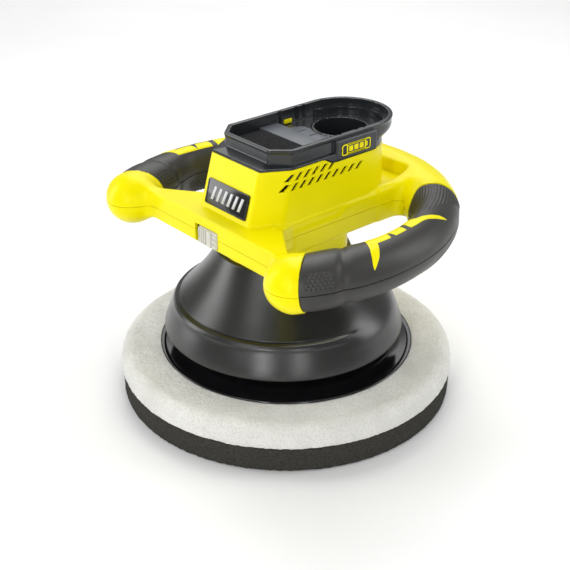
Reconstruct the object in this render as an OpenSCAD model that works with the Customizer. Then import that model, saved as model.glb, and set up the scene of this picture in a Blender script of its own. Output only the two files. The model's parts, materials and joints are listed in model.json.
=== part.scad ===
// Battery polisher with a random-orbit pad, a domed shroud and a wrap-round two-handed grip.
// Origin: on the motor axis, at the pad's working face. +Z up, +X the tool's right, -Y its front.

/* [Pad] */
// Diameter of the foam pad
pad_d = 254; // [220:1:310]
// Thickness of the dark cutting foam
cutting_h = 20; // [10:0.5:30]
// Thickness of the pale support foam
support_h = 17; // [10:0.5:30]
// Radius of the support foam's rounded top edge
foam_round = 10; // [2:0.5:10]
// Diameter of the backing plate
plate_d = 196.6; // [130:0.2:210]
// Thickness of the backing plate's rim
plate_t = 1.6; // [1.2:0.1:3]
// Height of the plate's hub above its underside
hub_h = 9; // [7.5:0.5:11]
// Distance from the motor axis to the pad's own axis
orbit = 3; // [1:0.25:3.5]

/* [Shroud] */
// Diameter of the shroud's lower rim
shroud_d = 184; // [160:1:220]
// Clear height between the pad's plate rim and the shroud
shroud_gap = 14.4; // [12.5:0.2:20]
// Height of the shroud
shroud_h = 65; // [60:1:80]
// Height of the step line above the shroud's rim
step_h = 24; // [18:0.5:28]
// Wall of the shroud
shroud_wall = 2.8; // [2:0.1:3.5]

/* [Housing] */
// Distance from the motor can to the outside of the body's side walls
side_clear = 5; // [4.2:0.1:8]
// Wall of the yellow housing
wall = 2.5; // [1.8:0.1:3]
// Distance from the motor can to the outside of the neck that stands on the shroud
neck_clear = 13; // [12:0.25:14.5]
// Height of the neck
neck_h = 13; // [8:0.5:18]
// Height of the lower housing's tray, up to the seam
tray_h = 14; // [12:0.5:20]
// Height of the upper housing's deck above the seam
deck_h = 11; // [9:0.5:16]
// Front face of the bar, forward of the motor axis
bar_front = 69; // [66:0.5:74]
// Height of the tower above the deck
tower_h = 39; // [34:0.5:50]
// Number of louvre slots in the lower row on each side
vents_lower = 10; // [3:1:10]
// Number of louvre slots in the upper row on each side
vents_upper = 6; // [3:1:6]

/* [Handle ring] */
// Radius of the ring's tube at the grips
tube_r = 19.5; // [17:0.25:21]
// Thickness of the rubber over the tube's core
rubber_t = 3; // [2:0.25:4]
// Radius of the long side arc of the ring's centre line
side_arc_r = 133; // [125:1:150]
// Radius of the corner arc of the ring's centre line
corner_arc_r = 85; // [75:1:95]
// Radius of the rear arc of the ring's centre line
rear_arc_r = 108.4; // [100:0.2:115]

/* [Battery dock] */
// Half width of the dock's rim
dock_half = 35; // [33:0.5:37]
// Height of the dock's rim above the tower
rim_h = 12.5; // [10:0.5:18]
// Wall of the dock's rim
rim_wall = 3; // [2.4:0.1:4]
// Radius of the battery stem's well
well_r = 20; // [18:0.5:21]
// Depth of the battery stem's well
well_h = 38; // [30:1:39]

/* [Switch] */
// Width of the sliding switch
switch_w = 20; // [14:0.5:24]
// Height of the sliding switch
switch_h = 12.6; // [10:0.2:14]
// Travel of the sliding switch
switch_travel = 5; // [3:0.5:7]

/* [Motor] */
// Outer radius of the motor can
can_r = 35; // [30:0.5:36]
// Radius of the motor shaft
shaft_r = 4; // [3:0.25:4.5]
// Radius of the pad's spindle
spindle_r = 6; // [5:0.25:6.5]
// Outer radius of the two motor bearings
motor_bearing_r = 11; // [10.5:0.25:12]
// Outer radius of the spindle bearing
spindle_bearing_r = 14; // [13.5:0.25:15]
// Number of fan blades
blades = 11; // [7:1:13]

/* [Hidden] */
$fn = 96;
eps = 0.01;
run_gap = 0.05;
side_x = can_r + side_clear;
neck_r = can_r + neck_clear;
can_gap = 1.5;
// Levels, from the working face up
support_top = cutting_h + support_h;
rim_top = support_top + plate_t;
hub_top = support_top + hub_h;
shroud_z = rim_top + shroud_gap;
shroud_top = shroud_z + shroud_h;
body_z = shroud_top + neck_h;
seam_z = body_z + tray_h;
deck_z = seam_z + deck_h;
tower_z = deck_z + tower_h;
rim_z = tower_z + rim_h;
bar_z = body_z + 4.5;
// Spindle and its bearing, hung in the counterweight
spindle_bearing_h = 8;
spindle_bearing_z = hub_top + 6;
weight_bottom = spindle_bearing_z - 1.5;
clip_t = 1;
spindle_top = spindle_bearing_z + spindle_bearing_h + 3.5;
pocket_top = spindle_top + 0.8;
web_top = pocket_top + 3;
boss_top = web_top + 7;
// Fan and motor, above the counterweight
fan_z = boss_top + 1;
fan_h = 8;
motor_bearing_h = 7;
mount_z = fan_z + fan_h + 1.5;
lower_bearing_z = mount_z + 1;
can_z = lower_bearing_z + motor_bearing_h;
can_h = 33;
can_t = 2;
can_top = can_z + can_h;
bell_h = 9;
upper_bearing_z = can_top + 2;
shaft_top = upper_bearing_z + motor_bearing_h + 1;
magnet_t = 5;
core_r = can_r - can_t - magnet_t - 1;
// Ring centre line: side arc, corner arc, rear arc, each tangent to the next
side_c = [108.7 - side_arc_r + 0.3, -8];
ball_ahead = 3.5;
front_a = -asin((bar_front + ball_ahead + side_c[1]) / side_arc_r);
// End of the bar inboard of and behind the ball's centre, and where its rear face slopes off
bar_end = [11.8, 10.2];
bar_slope = [16.3, 11.5];
// First slot, height above the deck and pitch of the two vent rows, lower row first
vent_y = [-30, -26];
vent_up = [25, 32.2];
vent_pitch = 7.7;
grip_start_a = front_a + 2;
corner_a = 42;
rear_a = 60;
corner_c = side_c + (side_arc_r - corner_arc_r) * [cos(corner_a), sin(corner_a)];
corner_end = corner_c + corner_arc_r * [cos(rear_a), sin(rear_a)];
rear_c = [0, corner_end[1] - sqrt(rear_arc_r * rear_arc_r - corner_end[0] * corner_end[0])];
rear_join_a = atan2(corner_end[1] - rear_c[1], corner_end[0]);
grip_end_a = 46;
joint_a = 0.06;
core_r_tube = tube_r - rubber_t;
ball_c = side_c + side_arc_r * [cos(front_a), sin(front_a)];
rear_y = rear_c[1] + rear_arc_r;
// Tower outline
tower_front = [26.5, -44.3];
tower_shoulder = [side_x - 2, -26];
foot_front = [27, -55.3];
foot_shoulder = [side_x - 1, -34];
tower_rear_c = 47;
tower_rear_r = side_x - 2;
// Battery dock
dock_front = -34.4;
dock_rear_c = 61;
dock_floor_z = tower_z + 4.5;
dock_low_z = tower_z + 1;
floor_t = 2.5;
well_c = [0, 57];
strip_y = [4, 21];
dip = 5;
// Switch
switch_x = -1;
switch_z = seam_z - 1.5;
slot_gap = 0.3;
// Screws
screw_r = 1.6;
head_r = 3;
boss_r = 3.8;
bar_screws = [[24, -60], [-24, -60]];
rear_screw_a = 75;
grip_screw_a = 8;
ring_screws = [
    for (s = [1, -1]) [s * (side_c[0] + side_arc_r * cos(grip_screw_a)), side_c[1] + side_arc_r * sin(grip_screw_a)],
    for (s = [1, -1]) [s * rear_arc_r * cos(rear_screw_a), rear_c[1] + rear_arc_r * sin(rear_screw_a)]
];

yellow = [0.87, 0.86, 0.02];
dark = [0.24, 0.24, 0.25];
rubber = [0.2, 0.2, 0.2];
steel = [0.7, 0.7, 0.72];

// ---------- shared shapes ----------

// A tube or ring standing on z
module ring(r_out, r_in, z, h) {
    translate([0, 0, z]) difference() {
        cylinder(r = r_out, h = h);
        translate([0, 0, -1]) cylinder(r = r_in, h = h + 2);
    }
}

// Profile of half a tube's wall, above or below the seam, about the tube's centre
module half_wall(r, r_in, up) {
    intersection() {
        difference() {
            circle(r = r);
            if (r_in > 0) circle(r = r_in);
        }
        translate([-2 * r, up ? 0 : -2 * r]) square([4 * r, 2 * r]);
    }
}

// A stretch of the handle ring about one centre
module ring_arc(c, arc_r, a0, a1, r, r_in, up) {
    translate([c[0], c[1], seam_z]) rotate([0, 0, a0])
        rotate_extrude(angle = a1 - a0) translate([arc_r, 0]) half_wall(r, r_in, up);
}

// Half of a ball end, closing the tube towards the front
module ball_half(r, r_in, up) {
    translate([ball_c[0], ball_c[1], seam_z]) rotate([0, 0, front_a + 180])
        rotate_extrude(angle = 180) intersection() {
            difference() {
                circle(r = r);
                circle(r = r_in);
            }
            translate([0, up ? 0 : -2 * r]) square([2 * r, 2 * r]);
        }
}

// Rib inside the tube that ties two stretches together
module ring_rib(c, arc_r, a, up) {
    ring_arc(c, arc_r, a - 1, a + 1, core_r_tube - 0.8, 0, up);
}

// The right half of the ring: full tube at the ball end and rear, slimmer core under the grip
module ring_right(up) {
    full = tube_r;
    core = core_r_tube;
    hollow = core_r_tube - wall;
    ball_half(full, hollow, up);
    ring_arc(side_c, side_arc_r, front_a - 0.7, grip_start_a + 1, core_r_tube - 0.8, 0, up);
    ring_arc(side_c, side_arc_r, front_a + joint_a, grip_start_a, full, hollow, up);
    ring_arc(side_c, side_arc_r, grip_start_a + joint_a, corner_a - joint_a, core, hollow, up);
    ring_rib(corner_c, corner_arc_r, corner_a, up);
    ring_arc(corner_c, corner_arc_r, corner_a, grip_end_a, core, hollow, up);
    ring_rib(corner_c, corner_arc_r, grip_end_a, up);
    ring_arc(corner_c, corner_arc_r, grip_end_a + joint_a, rear_a - joint_a, full, hollow, up);
    ring_rib(rear_c, rear_arc_r, rear_join_a, up);
    ring_arc(rear_c, rear_arc_r, rear_join_a, 90 - joint_a / 2, full, hollow, up);
}

// Both halves of the ring, tied at the rear
module ring_shell(up) {
    both_sides() ring_right(up);
    ring_rib(rear_c, rear_arc_r, 90, up);
}

module both_sides() {
    children();
    mirror([1, 0, 0]) children();
}

// Outline of the bar and the body's side walls, drawn in by a wall thickness
module body_outline(inset) {
    back_y = rear_y - tube_r - 4;
    half = [
        [0, -bar_front + inset],
        [ball_c[0] - bar_end[0] - inset, -bar_front + inset],
        [ball_c[0] - bar_end[0] - inset, ball_c[1] + bar_end[1]],
        [ball_c[0] - bar_slope[0], ball_c[1] + bar_slope[1] + inset * 0.4],
        [side_x - inset, foot_shoulder[1] - inset * 0.6],
        [side_x - inset, back_y],
        [0, back_y]
    ];
    polygon(half);
    mirror([1, 0]) polygon(half);
}

// Closes a right-hand outline with its mirror image
function mirrored(half) = concat(half, [for (i = [len(half) - 1:-1:0]) [-half[i][0], half[i][1]]]);

// Outline of the tower: narrow flat front, slanted corners and a round rear
function tower_points(front, shoulder, inset) = mirrored(concat(
    [[front[0] - inset * 0.6, front[1] + inset], [shoulder[0] - inset, shoulder[1] + inset * 0.5]],
    [for (a = [0:10:80]) [0, tower_rear_c] + (tower_rear_r - inset) * [cos(a), sin(a)]]
));

// The tower's solid form up to its top level, inside or outside its wall
module loft(low, z0, high, z1) {
    points = concat([for (p = low) [p[0], p[1], z0]], [for (p = high) [p[0], p[1], z1]]);
    hull() polyhedron(points, [[for (i = [0:len(low) - 1]) i], [for (i = [0:len(high) - 1]) len(low) + i]]);
}
module tower(inset, top) {
    loft(
        tower_points(foot_front, foot_shoulder, inset), deck_z - 1,
        tower_points(tower_front, tower_shoulder, inset), top
    );
}
module above_split(lift = 0) {
    z = tower_z + lift;
    rotate([90, 0, 90]) translate([0, 0, -60]) linear_extrude(120) polygon([
        [-70, z], [5, z], [15, z - dip], [55, z - dip], [63, z - dip + 1], [70, z], [110, z],
        [110, z + 40], [-70, z + 40]
    ]);
}

// Outline of the dock at one level: rounded front corners and a round rear
function dock_points(half, front, rear_c, corner) = mirrored(concat(
    [for (a = [-90:15:0]) [half - corner + corner * cos(a), front + corner + corner * sin(a)]],
    [for (a = [0:10:80]) [half * cos(a), rear_c + half * sin(a)]]
));

module screw(x, y, z, length, r = screw_r, hr = head_r) {
    translate([x, y, z - 2]) cylinder(r = hr, h = 2);
    translate([x, y, z - eps]) cylinder(r = r, h = length + eps);
}

// Bearing rings and balls share one race radius
module bearing_outer(r_out, r_in, z, h) {
    mid = (r_out + r_in) / 2;
    ball = (r_out - r_in) / 4;
    translate([0, 0, z]) rotate_extrude() difference() {
        translate([mid + ball * 0.45, 0]) square([r_out - mid - ball * 0.45, h]);
        translate([mid, h / 2]) circle(r = ball + run_gap);
    }
}

module bearing_inner(r_out, r_in, z, h) {
    mid = (r_out + r_in) / 2;
    ball = (r_out - r_in) / 4;
    translate([0, 0, z]) rotate_extrude() difference() {
        translate([r_in, 0]) square([mid - ball * 0.45 - r_in, h]);
        translate([mid, h / 2]) circle(r = ball + run_gap);
    }
}

module bearing_balls(r_out, r_in, z, h, count) {
    mid = (r_out + r_in) / 2;
    ball = (r_out - r_in) / 4;
    for (i = [0:count - 1])
        rotate([0, 0, i * 360 / count]) translate([mid, 0, z + h / 2]) sphere(r = ball, $fn = 32);
}

// ---------- pad ----------

module cutting_foam() {
    color([0.25, 0.24, 0.21]) translate([0, orbit, 0]) cylinder(r = pad_d / 2 - 0.5, h = cutting_h);
}

module support_foam() {
    r = pad_d / 2;
    color([0.9, 0.9, 0.87]) translate([0, orbit, cutting_h]) rotate_extrude() {
        square([r - foam_round, support_h]);
        square([r, support_h - foam_round]);
        translate([r - foam_round, support_h - foam_round]) intersection() {
            circle(r = foam_round);
            square(foam_round);
        }
    }
}

module backing_plate() {
    r = plate_d / 2;
    hub_r = 26;
    color([0.05, 0.05, 0.06]) translate([0, orbit, support_top]) difference() {
        rotate_extrude() polygon([
            [0, 0], [r, 0], [r, plate_t], [r - 2.5, plate_t], [r - 4, plate_t - 0.6], [r - 14, plate_t + 0.6],
            [r * 0.62, 5], [hub_r, 6], [hub_r, hub_h], [0, hub_h]
        ]);
        translate([0, 0, hub_h - 3]) cylinder(r = 18.05, h = 4);
        for (a = [45:90:359]) rotate([0, 0, a]) translate([13, 0, 0]) {
            translate([0, 0, -1]) cylinder(r = screw_r + 0.1, h = hub_h + 2);
            translate([0, 0, -1]) cylinder(r = head_r + 0.1, h = 3.5);
        }
    }
}

module plate_screws() {
    color(steel) translate([0, orbit, 0]) for (a = [45:90:359]) rotate([0, 0, a])
        screw(13, 0, support_top + 2.5, 6, screw_r - 0.05);
}

module pad_spindle() {
    color(steel) translate([0, orbit, 0]) difference() {
        union() {
            translate([0, 0, hub_top - 3]) cylinder(r = 18, h = 3);
            translate([0, 0, hub_top]) cylinder(r = spindle_r + 2, h = 6);
            translate([0, 0, hub_top]) cylinder(r = spindle_r, h = spindle_top - hub_top);
        }
        ring(spindle_r + 5, spindle_r - 0.8, spindle_bearing_z + spindle_bearing_h, clip_t);
        for (a = [45:90:359]) rotate([0, 0, a])
            translate([13, 0, hub_top - 4]) cylinder(r = screw_r - 0.05, h = 5);
    }
}

module spindle_clip() {
    color(dark) translate([0, orbit, 0]) difference() {
        ring(spindle_r + 2.2, spindle_r - 0.8, spindle_bearing_z + spindle_bearing_h, clip_t);
        translate([-2, 0, 0]) cube([4, 20, 200]);
    }
}

module spindle_bearing_inner() {
    color(steel) translate([0, orbit, 0])
        bearing_inner(spindle_bearing_r, spindle_r, spindle_bearing_z, spindle_bearing_h);
}

module spindle_bearing_balls() {
    color("silver") translate([0, orbit, 0])
        bearing_balls(spindle_bearing_r, spindle_r, spindle_bearing_z, spindle_bearing_h, 8);
}

// ---------- drive ----------

module spindle_bearing_outer() {
    color(steel) translate([0, orbit, 0])
        bearing_outer(spindle_bearing_r, spindle_r, spindle_bearing_z, spindle_bearing_h);
}

module pocket_clip() {
    color(dark) translate([0, orbit, 0]) difference() {
        ring(spindle_bearing_r + 1, spindle_bearing_r - 1.6, spindle_bearing_z - clip_t, clip_t);
        translate([-2, 0, 0]) cube([4, 30, 200]);
    }
}

// Hub with the off-centre bearing pocket and a heavy sector opposite the orbit
module counterweight() {
    weight_r = 40;
    color([0.55, 0.55, 0.57]) difference() {
        union() {
            translate([0, orbit, weight_bottom]) cylinder(r = spindle_bearing_r + 3, h = pocket_top - weight_bottom);
            translate([0, orbit, pocket_top - eps]) cylinder(r = spindle_bearing_r + 3, h = web_top - pocket_top + eps);
            translate([0, 0, web_top - eps]) cylinder(r = shaft_r + 4, h = boss_top - web_top + eps);
            translate([0, 0, spindle_bearing_z + 2]) intersection() {
                cylinder(r = weight_r, h = web_top - spindle_bearing_z - 2);
                translate([-30, -weight_r - 1, 0]) cube([60, weight_r - 8, 40]);
            }
            translate([0, 0, web_top - 4]) intersection() {
                cylinder(r = weight_r - 8, h = 4);
                translate([-12, -weight_r, 0]) cube([24, weight_r, 40]);
            }
        }
        translate([0, orbit, weight_bottom - 1])
            cylinder(r = spindle_bearing_r, h = spindle_bearing_z + spindle_bearing_h - weight_bottom + 1);
        translate([0, orbit, 0])
            ring(spindle_bearing_r + 1, 1, spindle_bearing_z - clip_t, clip_t);
        translate([0, orbit, spindle_bearing_z]) cylinder(r = spindle_r + 4, h = pocket_top - spindle_bearing_z);
        translate([0, 0, pocket_top - 1]) cylinder(r = shaft_r, h = 40);
    }
}

module cooling_fan() {
    fan_r = can_r - 2;
    color([0.15, 0.15, 0.16]) difference() {
        union() {
            translate([0, 0, fan_z]) cylinder(r = fan_r, h = 1.6);
            translate([0, 0, fan_z]) cylinder(r = shaft_r + 4, h = fan_h);
            for (i = [0:blades - 1]) rotate([0, 0, i * 360 / blades])
                translate([shaft_r + 8, -0.7, fan_z + 1.6 - eps]) cube([fan_r - shaft_r - 9.5, 1.4, fan_h - 1.6]);
        }
        translate([0, 0, fan_z - 1]) cylinder(r = shaft_r, h = fan_h + 2);
    }
}

module motor_shaft() {
    color(steel) translate([0, 0, pocket_top]) cylinder(r = shaft_r, h = shaft_top - pocket_top);
}

module lower_bearing_inner() {
    color(steel) bearing_inner(motor_bearing_r, shaft_r, lower_bearing_z, motor_bearing_h);
}

module lower_bearing_balls() {
    color("silver") bearing_balls(motor_bearing_r, shaft_r, lower_bearing_z, motor_bearing_h, 7);
}

module upper_bearing_inner() {
    color(steel) bearing_inner(motor_bearing_r, shaft_r, upper_bearing_z, motor_bearing_h);
}

module upper_bearing_balls() {
    color("silver") bearing_balls(motor_bearing_r, shaft_r, upper_bearing_z, motor_bearing_h, 7);
}

module armature_core() {
    slots = 12;
    color([0.5, 0.5, 0.52]) difference() {
        ring(core_r, shaft_r, can_z + 7, 15);
        for (i = [0:slots - 1]) rotate([0, 0, i * 360 / slots])
            translate([core_r * 0.6, -1.5, can_z]) cube([core_r, 3, 40]);
    }
}

module armature_windings() {
    color([0.72, 0.4, 0.18]) {
        ring(core_r - 2, shaft_r + 2, can_z + 2.5, 4.5);
        ring(core_r - 2, shaft_r + 2, can_z + 22, 3);
    }
}

module commutator() {
    bars = 12;
    color([0.75, 0.45, 0.2]) difference() {
        ring(9, shaft_r, can_z + 25.2, 7.3);
        for (i = [0:bars - 1]) rotate([0, 0, i * 360 / bars])
            translate([7.6, -0.25, can_z]) cube([4, 0.5, 60]);
    }
}

// ---------- motor, fixed ----------

module lower_bearing_outer() {
    color(steel) bearing_outer(motor_bearing_r, shaft_r, lower_bearing_z, motor_bearing_h);
}

module upper_bearing_outer() {
    color(steel) bearing_outer(motor_bearing_r, shaft_r, upper_bearing_z, motor_bearing_h);
}

// Spider that carries the motor and its lower bearing inside the shroud
module motor_mount() {
    color([0.6, 0.6, 0.62]) difference() {
        union() {
            translate([0, 0, mount_z]) cylinder(r = motor_bearing_r + 4, h = can_z - mount_z);
            translate([0, 0, can_z - 3]) cylinder(r = can_r, h = 3);
            for (a = [45:90:359]) rotate([0, 0, a]) {
                translate([10, -5, can_z - 3]) cube([mount_boss_r - 10, 10, 3]);
                translate([mount_boss_r, 0, can_z - 3]) cylinder(r = 6, h = 3);
            }
        }
        translate([0, 0, mount_z - 1]) cylinder(r = shaft_r + 2, h = 30);
        translate([0, 0, lower_bearing_z]) cylinder(r = motor_bearing_r, h = 30);
        for (a = [45:90:359]) rotate([0, 0, a])
            translate([mount_boss_r, 0, can_z - 4]) cylinder(r = screw_r + 0.2, h = 5);
        for (a = [0:90:359]) rotate([0, 0, a])
            translate([22, 0, can_z - 4]) cylinder(r = 5, h = 5);
    }
}

module motor_can() {
    color([0.62, 0.63, 0.64]) difference() {
        translate([0, 0, can_z]) cylinder(r = can_r, h = can_h);
        translate([0, 0, can_z + can_t]) cylinder(r = can_r - can_t, h = can_h);
        translate([0, 0, can_z - 1]) cylinder(r = motor_bearing_r - 1, h = 10);
        for (a = [0:90:359]) rotate([0, 0, a])
            translate([22, 0, can_z - 1]) cylinder(r = 5, h = 5);
    }
}

module motor_magnets() {
    gap_half = 6;
    color([0.2, 0.2, 0.22]) difference() {
        ring(can_r - can_t, can_r - can_t - magnet_t, can_z + 5, 20);
        translate([-gap_half, -50, can_z]) cube([2 * gap_half, 100, 60]);
    }
}

module motor_end_bell() {
    color([0.16, 0.16, 0.17]) difference() {
        union() {
            translate([0, 0, can_top]) cylinder(r = can_r, h = 2);
            translate([0, 0, can_top]) cylinder(r = motor_bearing_r + 3, h = bell_h);
        }
        translate([0, 0, can_top - 1]) cylinder(r = shaft_r + 2, h = 30);
        translate([0, 0, upper_bearing_z]) cylinder(r = motor_bearing_r, h = 30);
        for (s = [1, -1]) translate([s * 26 - 3, -8, can_top - 1]) cube([6, 16, 4]);
    }
}

module brush_holders() {
    color([0.8, 0.65, 0.3]) for (a = [0, 180]) rotate([0, 0, a]) difference() {
        translate([12, -5, can_z + 25.6]) cube([14, 10, can_top - can_z - 25.6]);
        translate([11, -3.1, can_z + 26.4]) cube([16, 6.2, 5.4]);
    }
}

module carbon_brushes() {
    color([0.12, 0.12, 0.12]) for (a = [0, 180]) rotate([0, 0, a]) difference() {
        translate([7, -3, can_z + 26.5]) cube([16, 6, 5.2]);
        translate([0, 0, can_z]) cylinder(r = 9.05, h = 60);
    }
}

module motor_screws() {
    color(steel) for (a = [45:90:359]) rotate([0, 0, a])
        screw(mount_boss_r, 0, can_z - 3, 9, screw_r - 0.05);
}

// ---------- shroud ----------

// Radius of the dome's outside at a height above the shroud's rim
shroud_r = shroud_d / 2;
dome_top_r = 50;
function dome_r(h) =
    h < step_h ? shroud_r - 9.2 * pow(h / step_h, 1.25)
    : let (t = (h - step_h) / (shroud_h - step_h))
        dome_top_r + (shroud_r - 10.8 - dome_top_r) * (1 - t) * (1 - 0.42 * t) + 0;
neck_screw_r = can_r + 6;
function shroud_inner_r(z) = dome_r(z - shroud_z) - shroud_wall;
mount_boss_r = shroud_inner_r(can_z + 4) - 7;
dome_steps = 8;
skirt_steps = 4;
function dome_outside() = concat(
    [for (i = [0:skirt_steps]) let (h = step_h * i / skirt_steps) [dome_r(min(h, step_h - eps)), h]],
    [for (i = [0:dome_steps]) let (h = step_h + 1 + (shroud_h - step_h - 1) * i / dome_steps) [dome_r(h), h]]
);

module shroud() {
    outside = dome_outside();
    inside = [for (p = outside) [p[0] - shroud_wall, p[1]]];
    count = len(outside);
    hole_r = can_r + can_gap;
    color([0.27, 0.27, 0.27]) difference() {
        union() {
            translate([0, 0, shroud_z]) rotate_extrude() polygon(concat(
                outside,
                [[hole_r, shroud_h], [hole_r, shroud_h - 3], [inside[count - 1][0], shroud_h - 3]],
                [for (i = [count - 2:-1:0]) inside[i]]
            ));
            for (a = [45:90:359]) rotate([0, 0, a]) difference() {
                translate([mount_boss_r, 0, can_z]) cylinder(r = 5, h = 8);
                translate([mount_boss_r, 0, can_z - 1]) cylinder(r = screw_r, h = 20);
            }
            intersection() {
                translate([0, 0, shroud_z]) rotate_extrude() polygon(concat(
                    outside, [[0, shroud_h], [0, 0]]));
                for (a = [45:90:359]) rotate([0, 0, a]) difference() {
                    translate([mount_boss_r + 2, -4, can_z]) cube([30, 8, 8]);
                    translate([mount_boss_r, 0, can_z - 1]) cylinder(r = 4, h = 20);
                }
            }
        }
        for (a = [45:90:359]) rotate([0, 0, a])
            translate([neck_screw_r, 0, shroud_top - 4]) cylinder(r = screw_r + 0.2, h = 8);
    }
}

module shroud_screws() {
    color(steel) for (a = [45:90:359]) rotate([0, 0, a])
        screw(neck_screw_r, 0, shroud_top - 3, 9, screw_r - 0.05, 2.6);
}

// ---------- housings ----------

// Places along the bar and the ring where the two housings are screwed together
module at_screws() {
    for (p = concat(bar_screws, ring_screws)) translate([p[0], p[1], 0]) children();
}

// Bosses from the housing's floor or roof to the seam
module screw_bosses(up) {
    bar_h = up ? deck_h - 1 : seam_z - bar_z - 1;
    ring_h = core_r_tube - 1;
    for (p = bar_screws) translate([p[0], p[1], up ? seam_z : seam_z - bar_h]) cylinder(r = boss_r, h = bar_h);
    for (p = ring_screws) translate([p[0], p[1], up ? seam_z : seam_z - ring_h]) cylinder(r = boss_r, h = ring_h);
}

// Closed form of the neck and the tray, drawn in by a wall
module lower_body(inset, bar_base, body_base, neck_base) {
    back_y = rear_y - tube_r - 4;
    translate([0, 0, bar_base]) linear_extrude(seam_z + inset - bar_base) body_outline(inset);
    translate([-side_x + inset, foot_shoulder[1] - 12, body_base])
        cube([2 * (side_x - inset), back_y - foot_shoulder[1] + 12 - inset, seam_z + inset - body_base]);
    intersection() {
        translate([0, 0, neck_base]) cylinder(r = neck_r - inset, h = body_z + 3 - neck_base);
        translate([-side_x + inset, -60, 0]) cube([2 * (side_x - inset), 120, 300]);
    }
}

module lower_housing() {
    flange_t = 3;
    color(yellow) difference() {
        union() {
            difference() {
                lower_body(0, bar_z, body_z, shroud_top);
                lower_body(wall, bar_z + wall, body_z + wall, shroud_top + flange_t);
                translate([0, 0, shroud_top - 1]) cylinder(r = can_r + can_gap, h = 10);
            }
            ring_shell(false);
            intersection() {
                for (a = [45:90:359]) rotate([0, 0, a])
                    translate([neck_screw_r, 0, shroud_top + 1]) cylinder(r = 4, h = 8);
                translate([0, 0, shroud_top]) cylinder(r = neck_r - 1, h = 9.5);
            }
            screw_bosses(false);
        }
        for (a = [45:90:359]) rotate([0, 0, a])
            translate([neck_screw_r, 0, shroud_top - 1]) cylinder(r = screw_r, h = 8);
        at_screws() translate([0, 0, seam_z - 15]) cylinder(r = screw_r + 0.2, h = 20);
        at_screws() translate([0, 0, seam_z - 30]) cylinder(r = head_r + 0.2, h = 23);
        switch_slot();
    }
}

module upper_housing() {
    color(yellow) difference() {
        union() {
            difference() {
                union() {
                    translate([0, 0, seam_z]) linear_extrude(deck_h) body_outline(0);
                    tower(0, tower_z);
                }
                translate([0, 0, seam_z - 1]) linear_extrude(deck_h - wall + 1) body_outline(wall);
                translate([0, 0, -wall]) tower(wall, tower_z + 2 * wall);
            }
            ring_shell(true);
            screw_bosses(true);
            for (p = dock_screw_points) translate([p[0], p[1], tower_z - dip - 12]) {
                cylinder(r = boss_r, h = 10);
                translate([p[0] > 0 ? 0 : -11, -1, 0]) cube([11, 2, 10]);
            }
        }
        at_screws() translate([0, 0, seam_z - 1]) cylinder(r = screw_r, h = 10);
        for (p = dock_screw_points) translate([p[0], p[1], tower_z - dip - 14]) cylinder(r = screw_r + 0.2, h = 14);
        above_split();
        switch_slot();
        for (s = [1, -1]) {
            for (i = [0:vents_lower - 1]) vent(s, vent_y[0] + i * vent_pitch, deck_z + vent_up[0]);
            for (i = [0:vents_upper - 1]) vent(s, vent_y[1] + i * vent_pitch, deck_z + vent_up[1]);
        }
    }
}

// One slanted louvre slot through a side wall
module vent(side, y, z) {
    translate([side * side_x, y, z]) rotate([-35, 0, 0]) cube([16, 2.6, 6.4], center = true);
}

module switch_slot() {
    translate([switch_x - switch_w / 2 - switch_travel - slot_gap, -bar_front - 1, switch_z - switch_h / 2 - slot_gap])
        cube([switch_w + switch_travel + 2 * slot_gap, 1 + wall + 0.5, switch_h + 2 * slot_gap]);
}

module housing_screws() {
    color(steel) at_screws() screw(0, 0, seam_z - 7, 15, screw_r - 0.05);
}

// ---------- grips ----------

grip_gap = 0.02;

// Rubber sleeve half over the tube's core
module grip_half(up) {
    start = grip_start_a + 0.1;
    bore = core_r_tube + grip_gap;
    color(rubber) difference() {
        union() {
            ring_arc(side_c, side_arc_r, start, corner_a - joint_a, tube_r, bore, up);
            ring_arc(corner_c, corner_arc_r, corner_a - 1, corner_a + 1, tube_r - 0.6, bore + 0.6, up);
            ring_arc(corner_c, corner_arc_r, corner_a + joint_a, grip_end_a - 0.1, tube_r, bore, up);
        }
        at_screws() translate([0, 0, seam_z - 40]) cylinder(r = head_r + 0.2, h = 40 - 7);
        if (up) accents(0.02);
    }
}

// One stretch of accent inlay: ring angles a0 to a1, section angles s0 to s1
module accent(a0, a1, s0, s1, depth, grow) {
    steps = 6;
    r0 = tube_r - depth - grow;
    r1 = tube_r + 0.3;
    translate([side_c[0], side_c[1], seam_z]) rotate([0, 0, a0])
        rotate_extrude(angle = a1 - a0) translate([side_arc_r, 0]) polygon(concat(
            [for (i = [0:steps]) let (a = s0 + (s1 - s0) * i / steps) r1 * [cos(a), sin(a)]],
            [for (i = [steps:-1:0]) let (a = s0 + (s1 - s0) * i / steps) r0 * [cos(a), sin(a)]]
        ));
}

module accents(grow = 0) {
    accent(-7.6, -4.4, 30, 81, 1, grow);
    accent(-6, 2.7, 79, 99, 1.2, grow);
    accent(4, 9.5, 79, 99, 1.2, grow);
    accent(11.4, 17.2, 79, 99, 1.2, grow);
    accent(16.8, 22, 74, 91, 1, grow);
    accent(21.6, 24.6, 45, 76, 1.2, grow);
}

module grip_upper_right() { grip_half(true); }
module grip_upper_left() { mirror([1, 0, 0]) grip_half(true); }
module grip_lower_right() { grip_half(false); }
module grip_lower_left() { mirror([1, 0, 0]) grip_half(false); }
module grip_accents_right() { color(yellow) accents(); }
module grip_accents_left() { color(yellow) mirror([1, 0, 0]) accents(); }

// ---------- battery dock ----------

dock_screw_points = [[26, -22], [-26, -22], [27, 28], [-27, 28]];
well_bottom = dock_low_z - well_h;
well_wall = 2.5;

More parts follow.
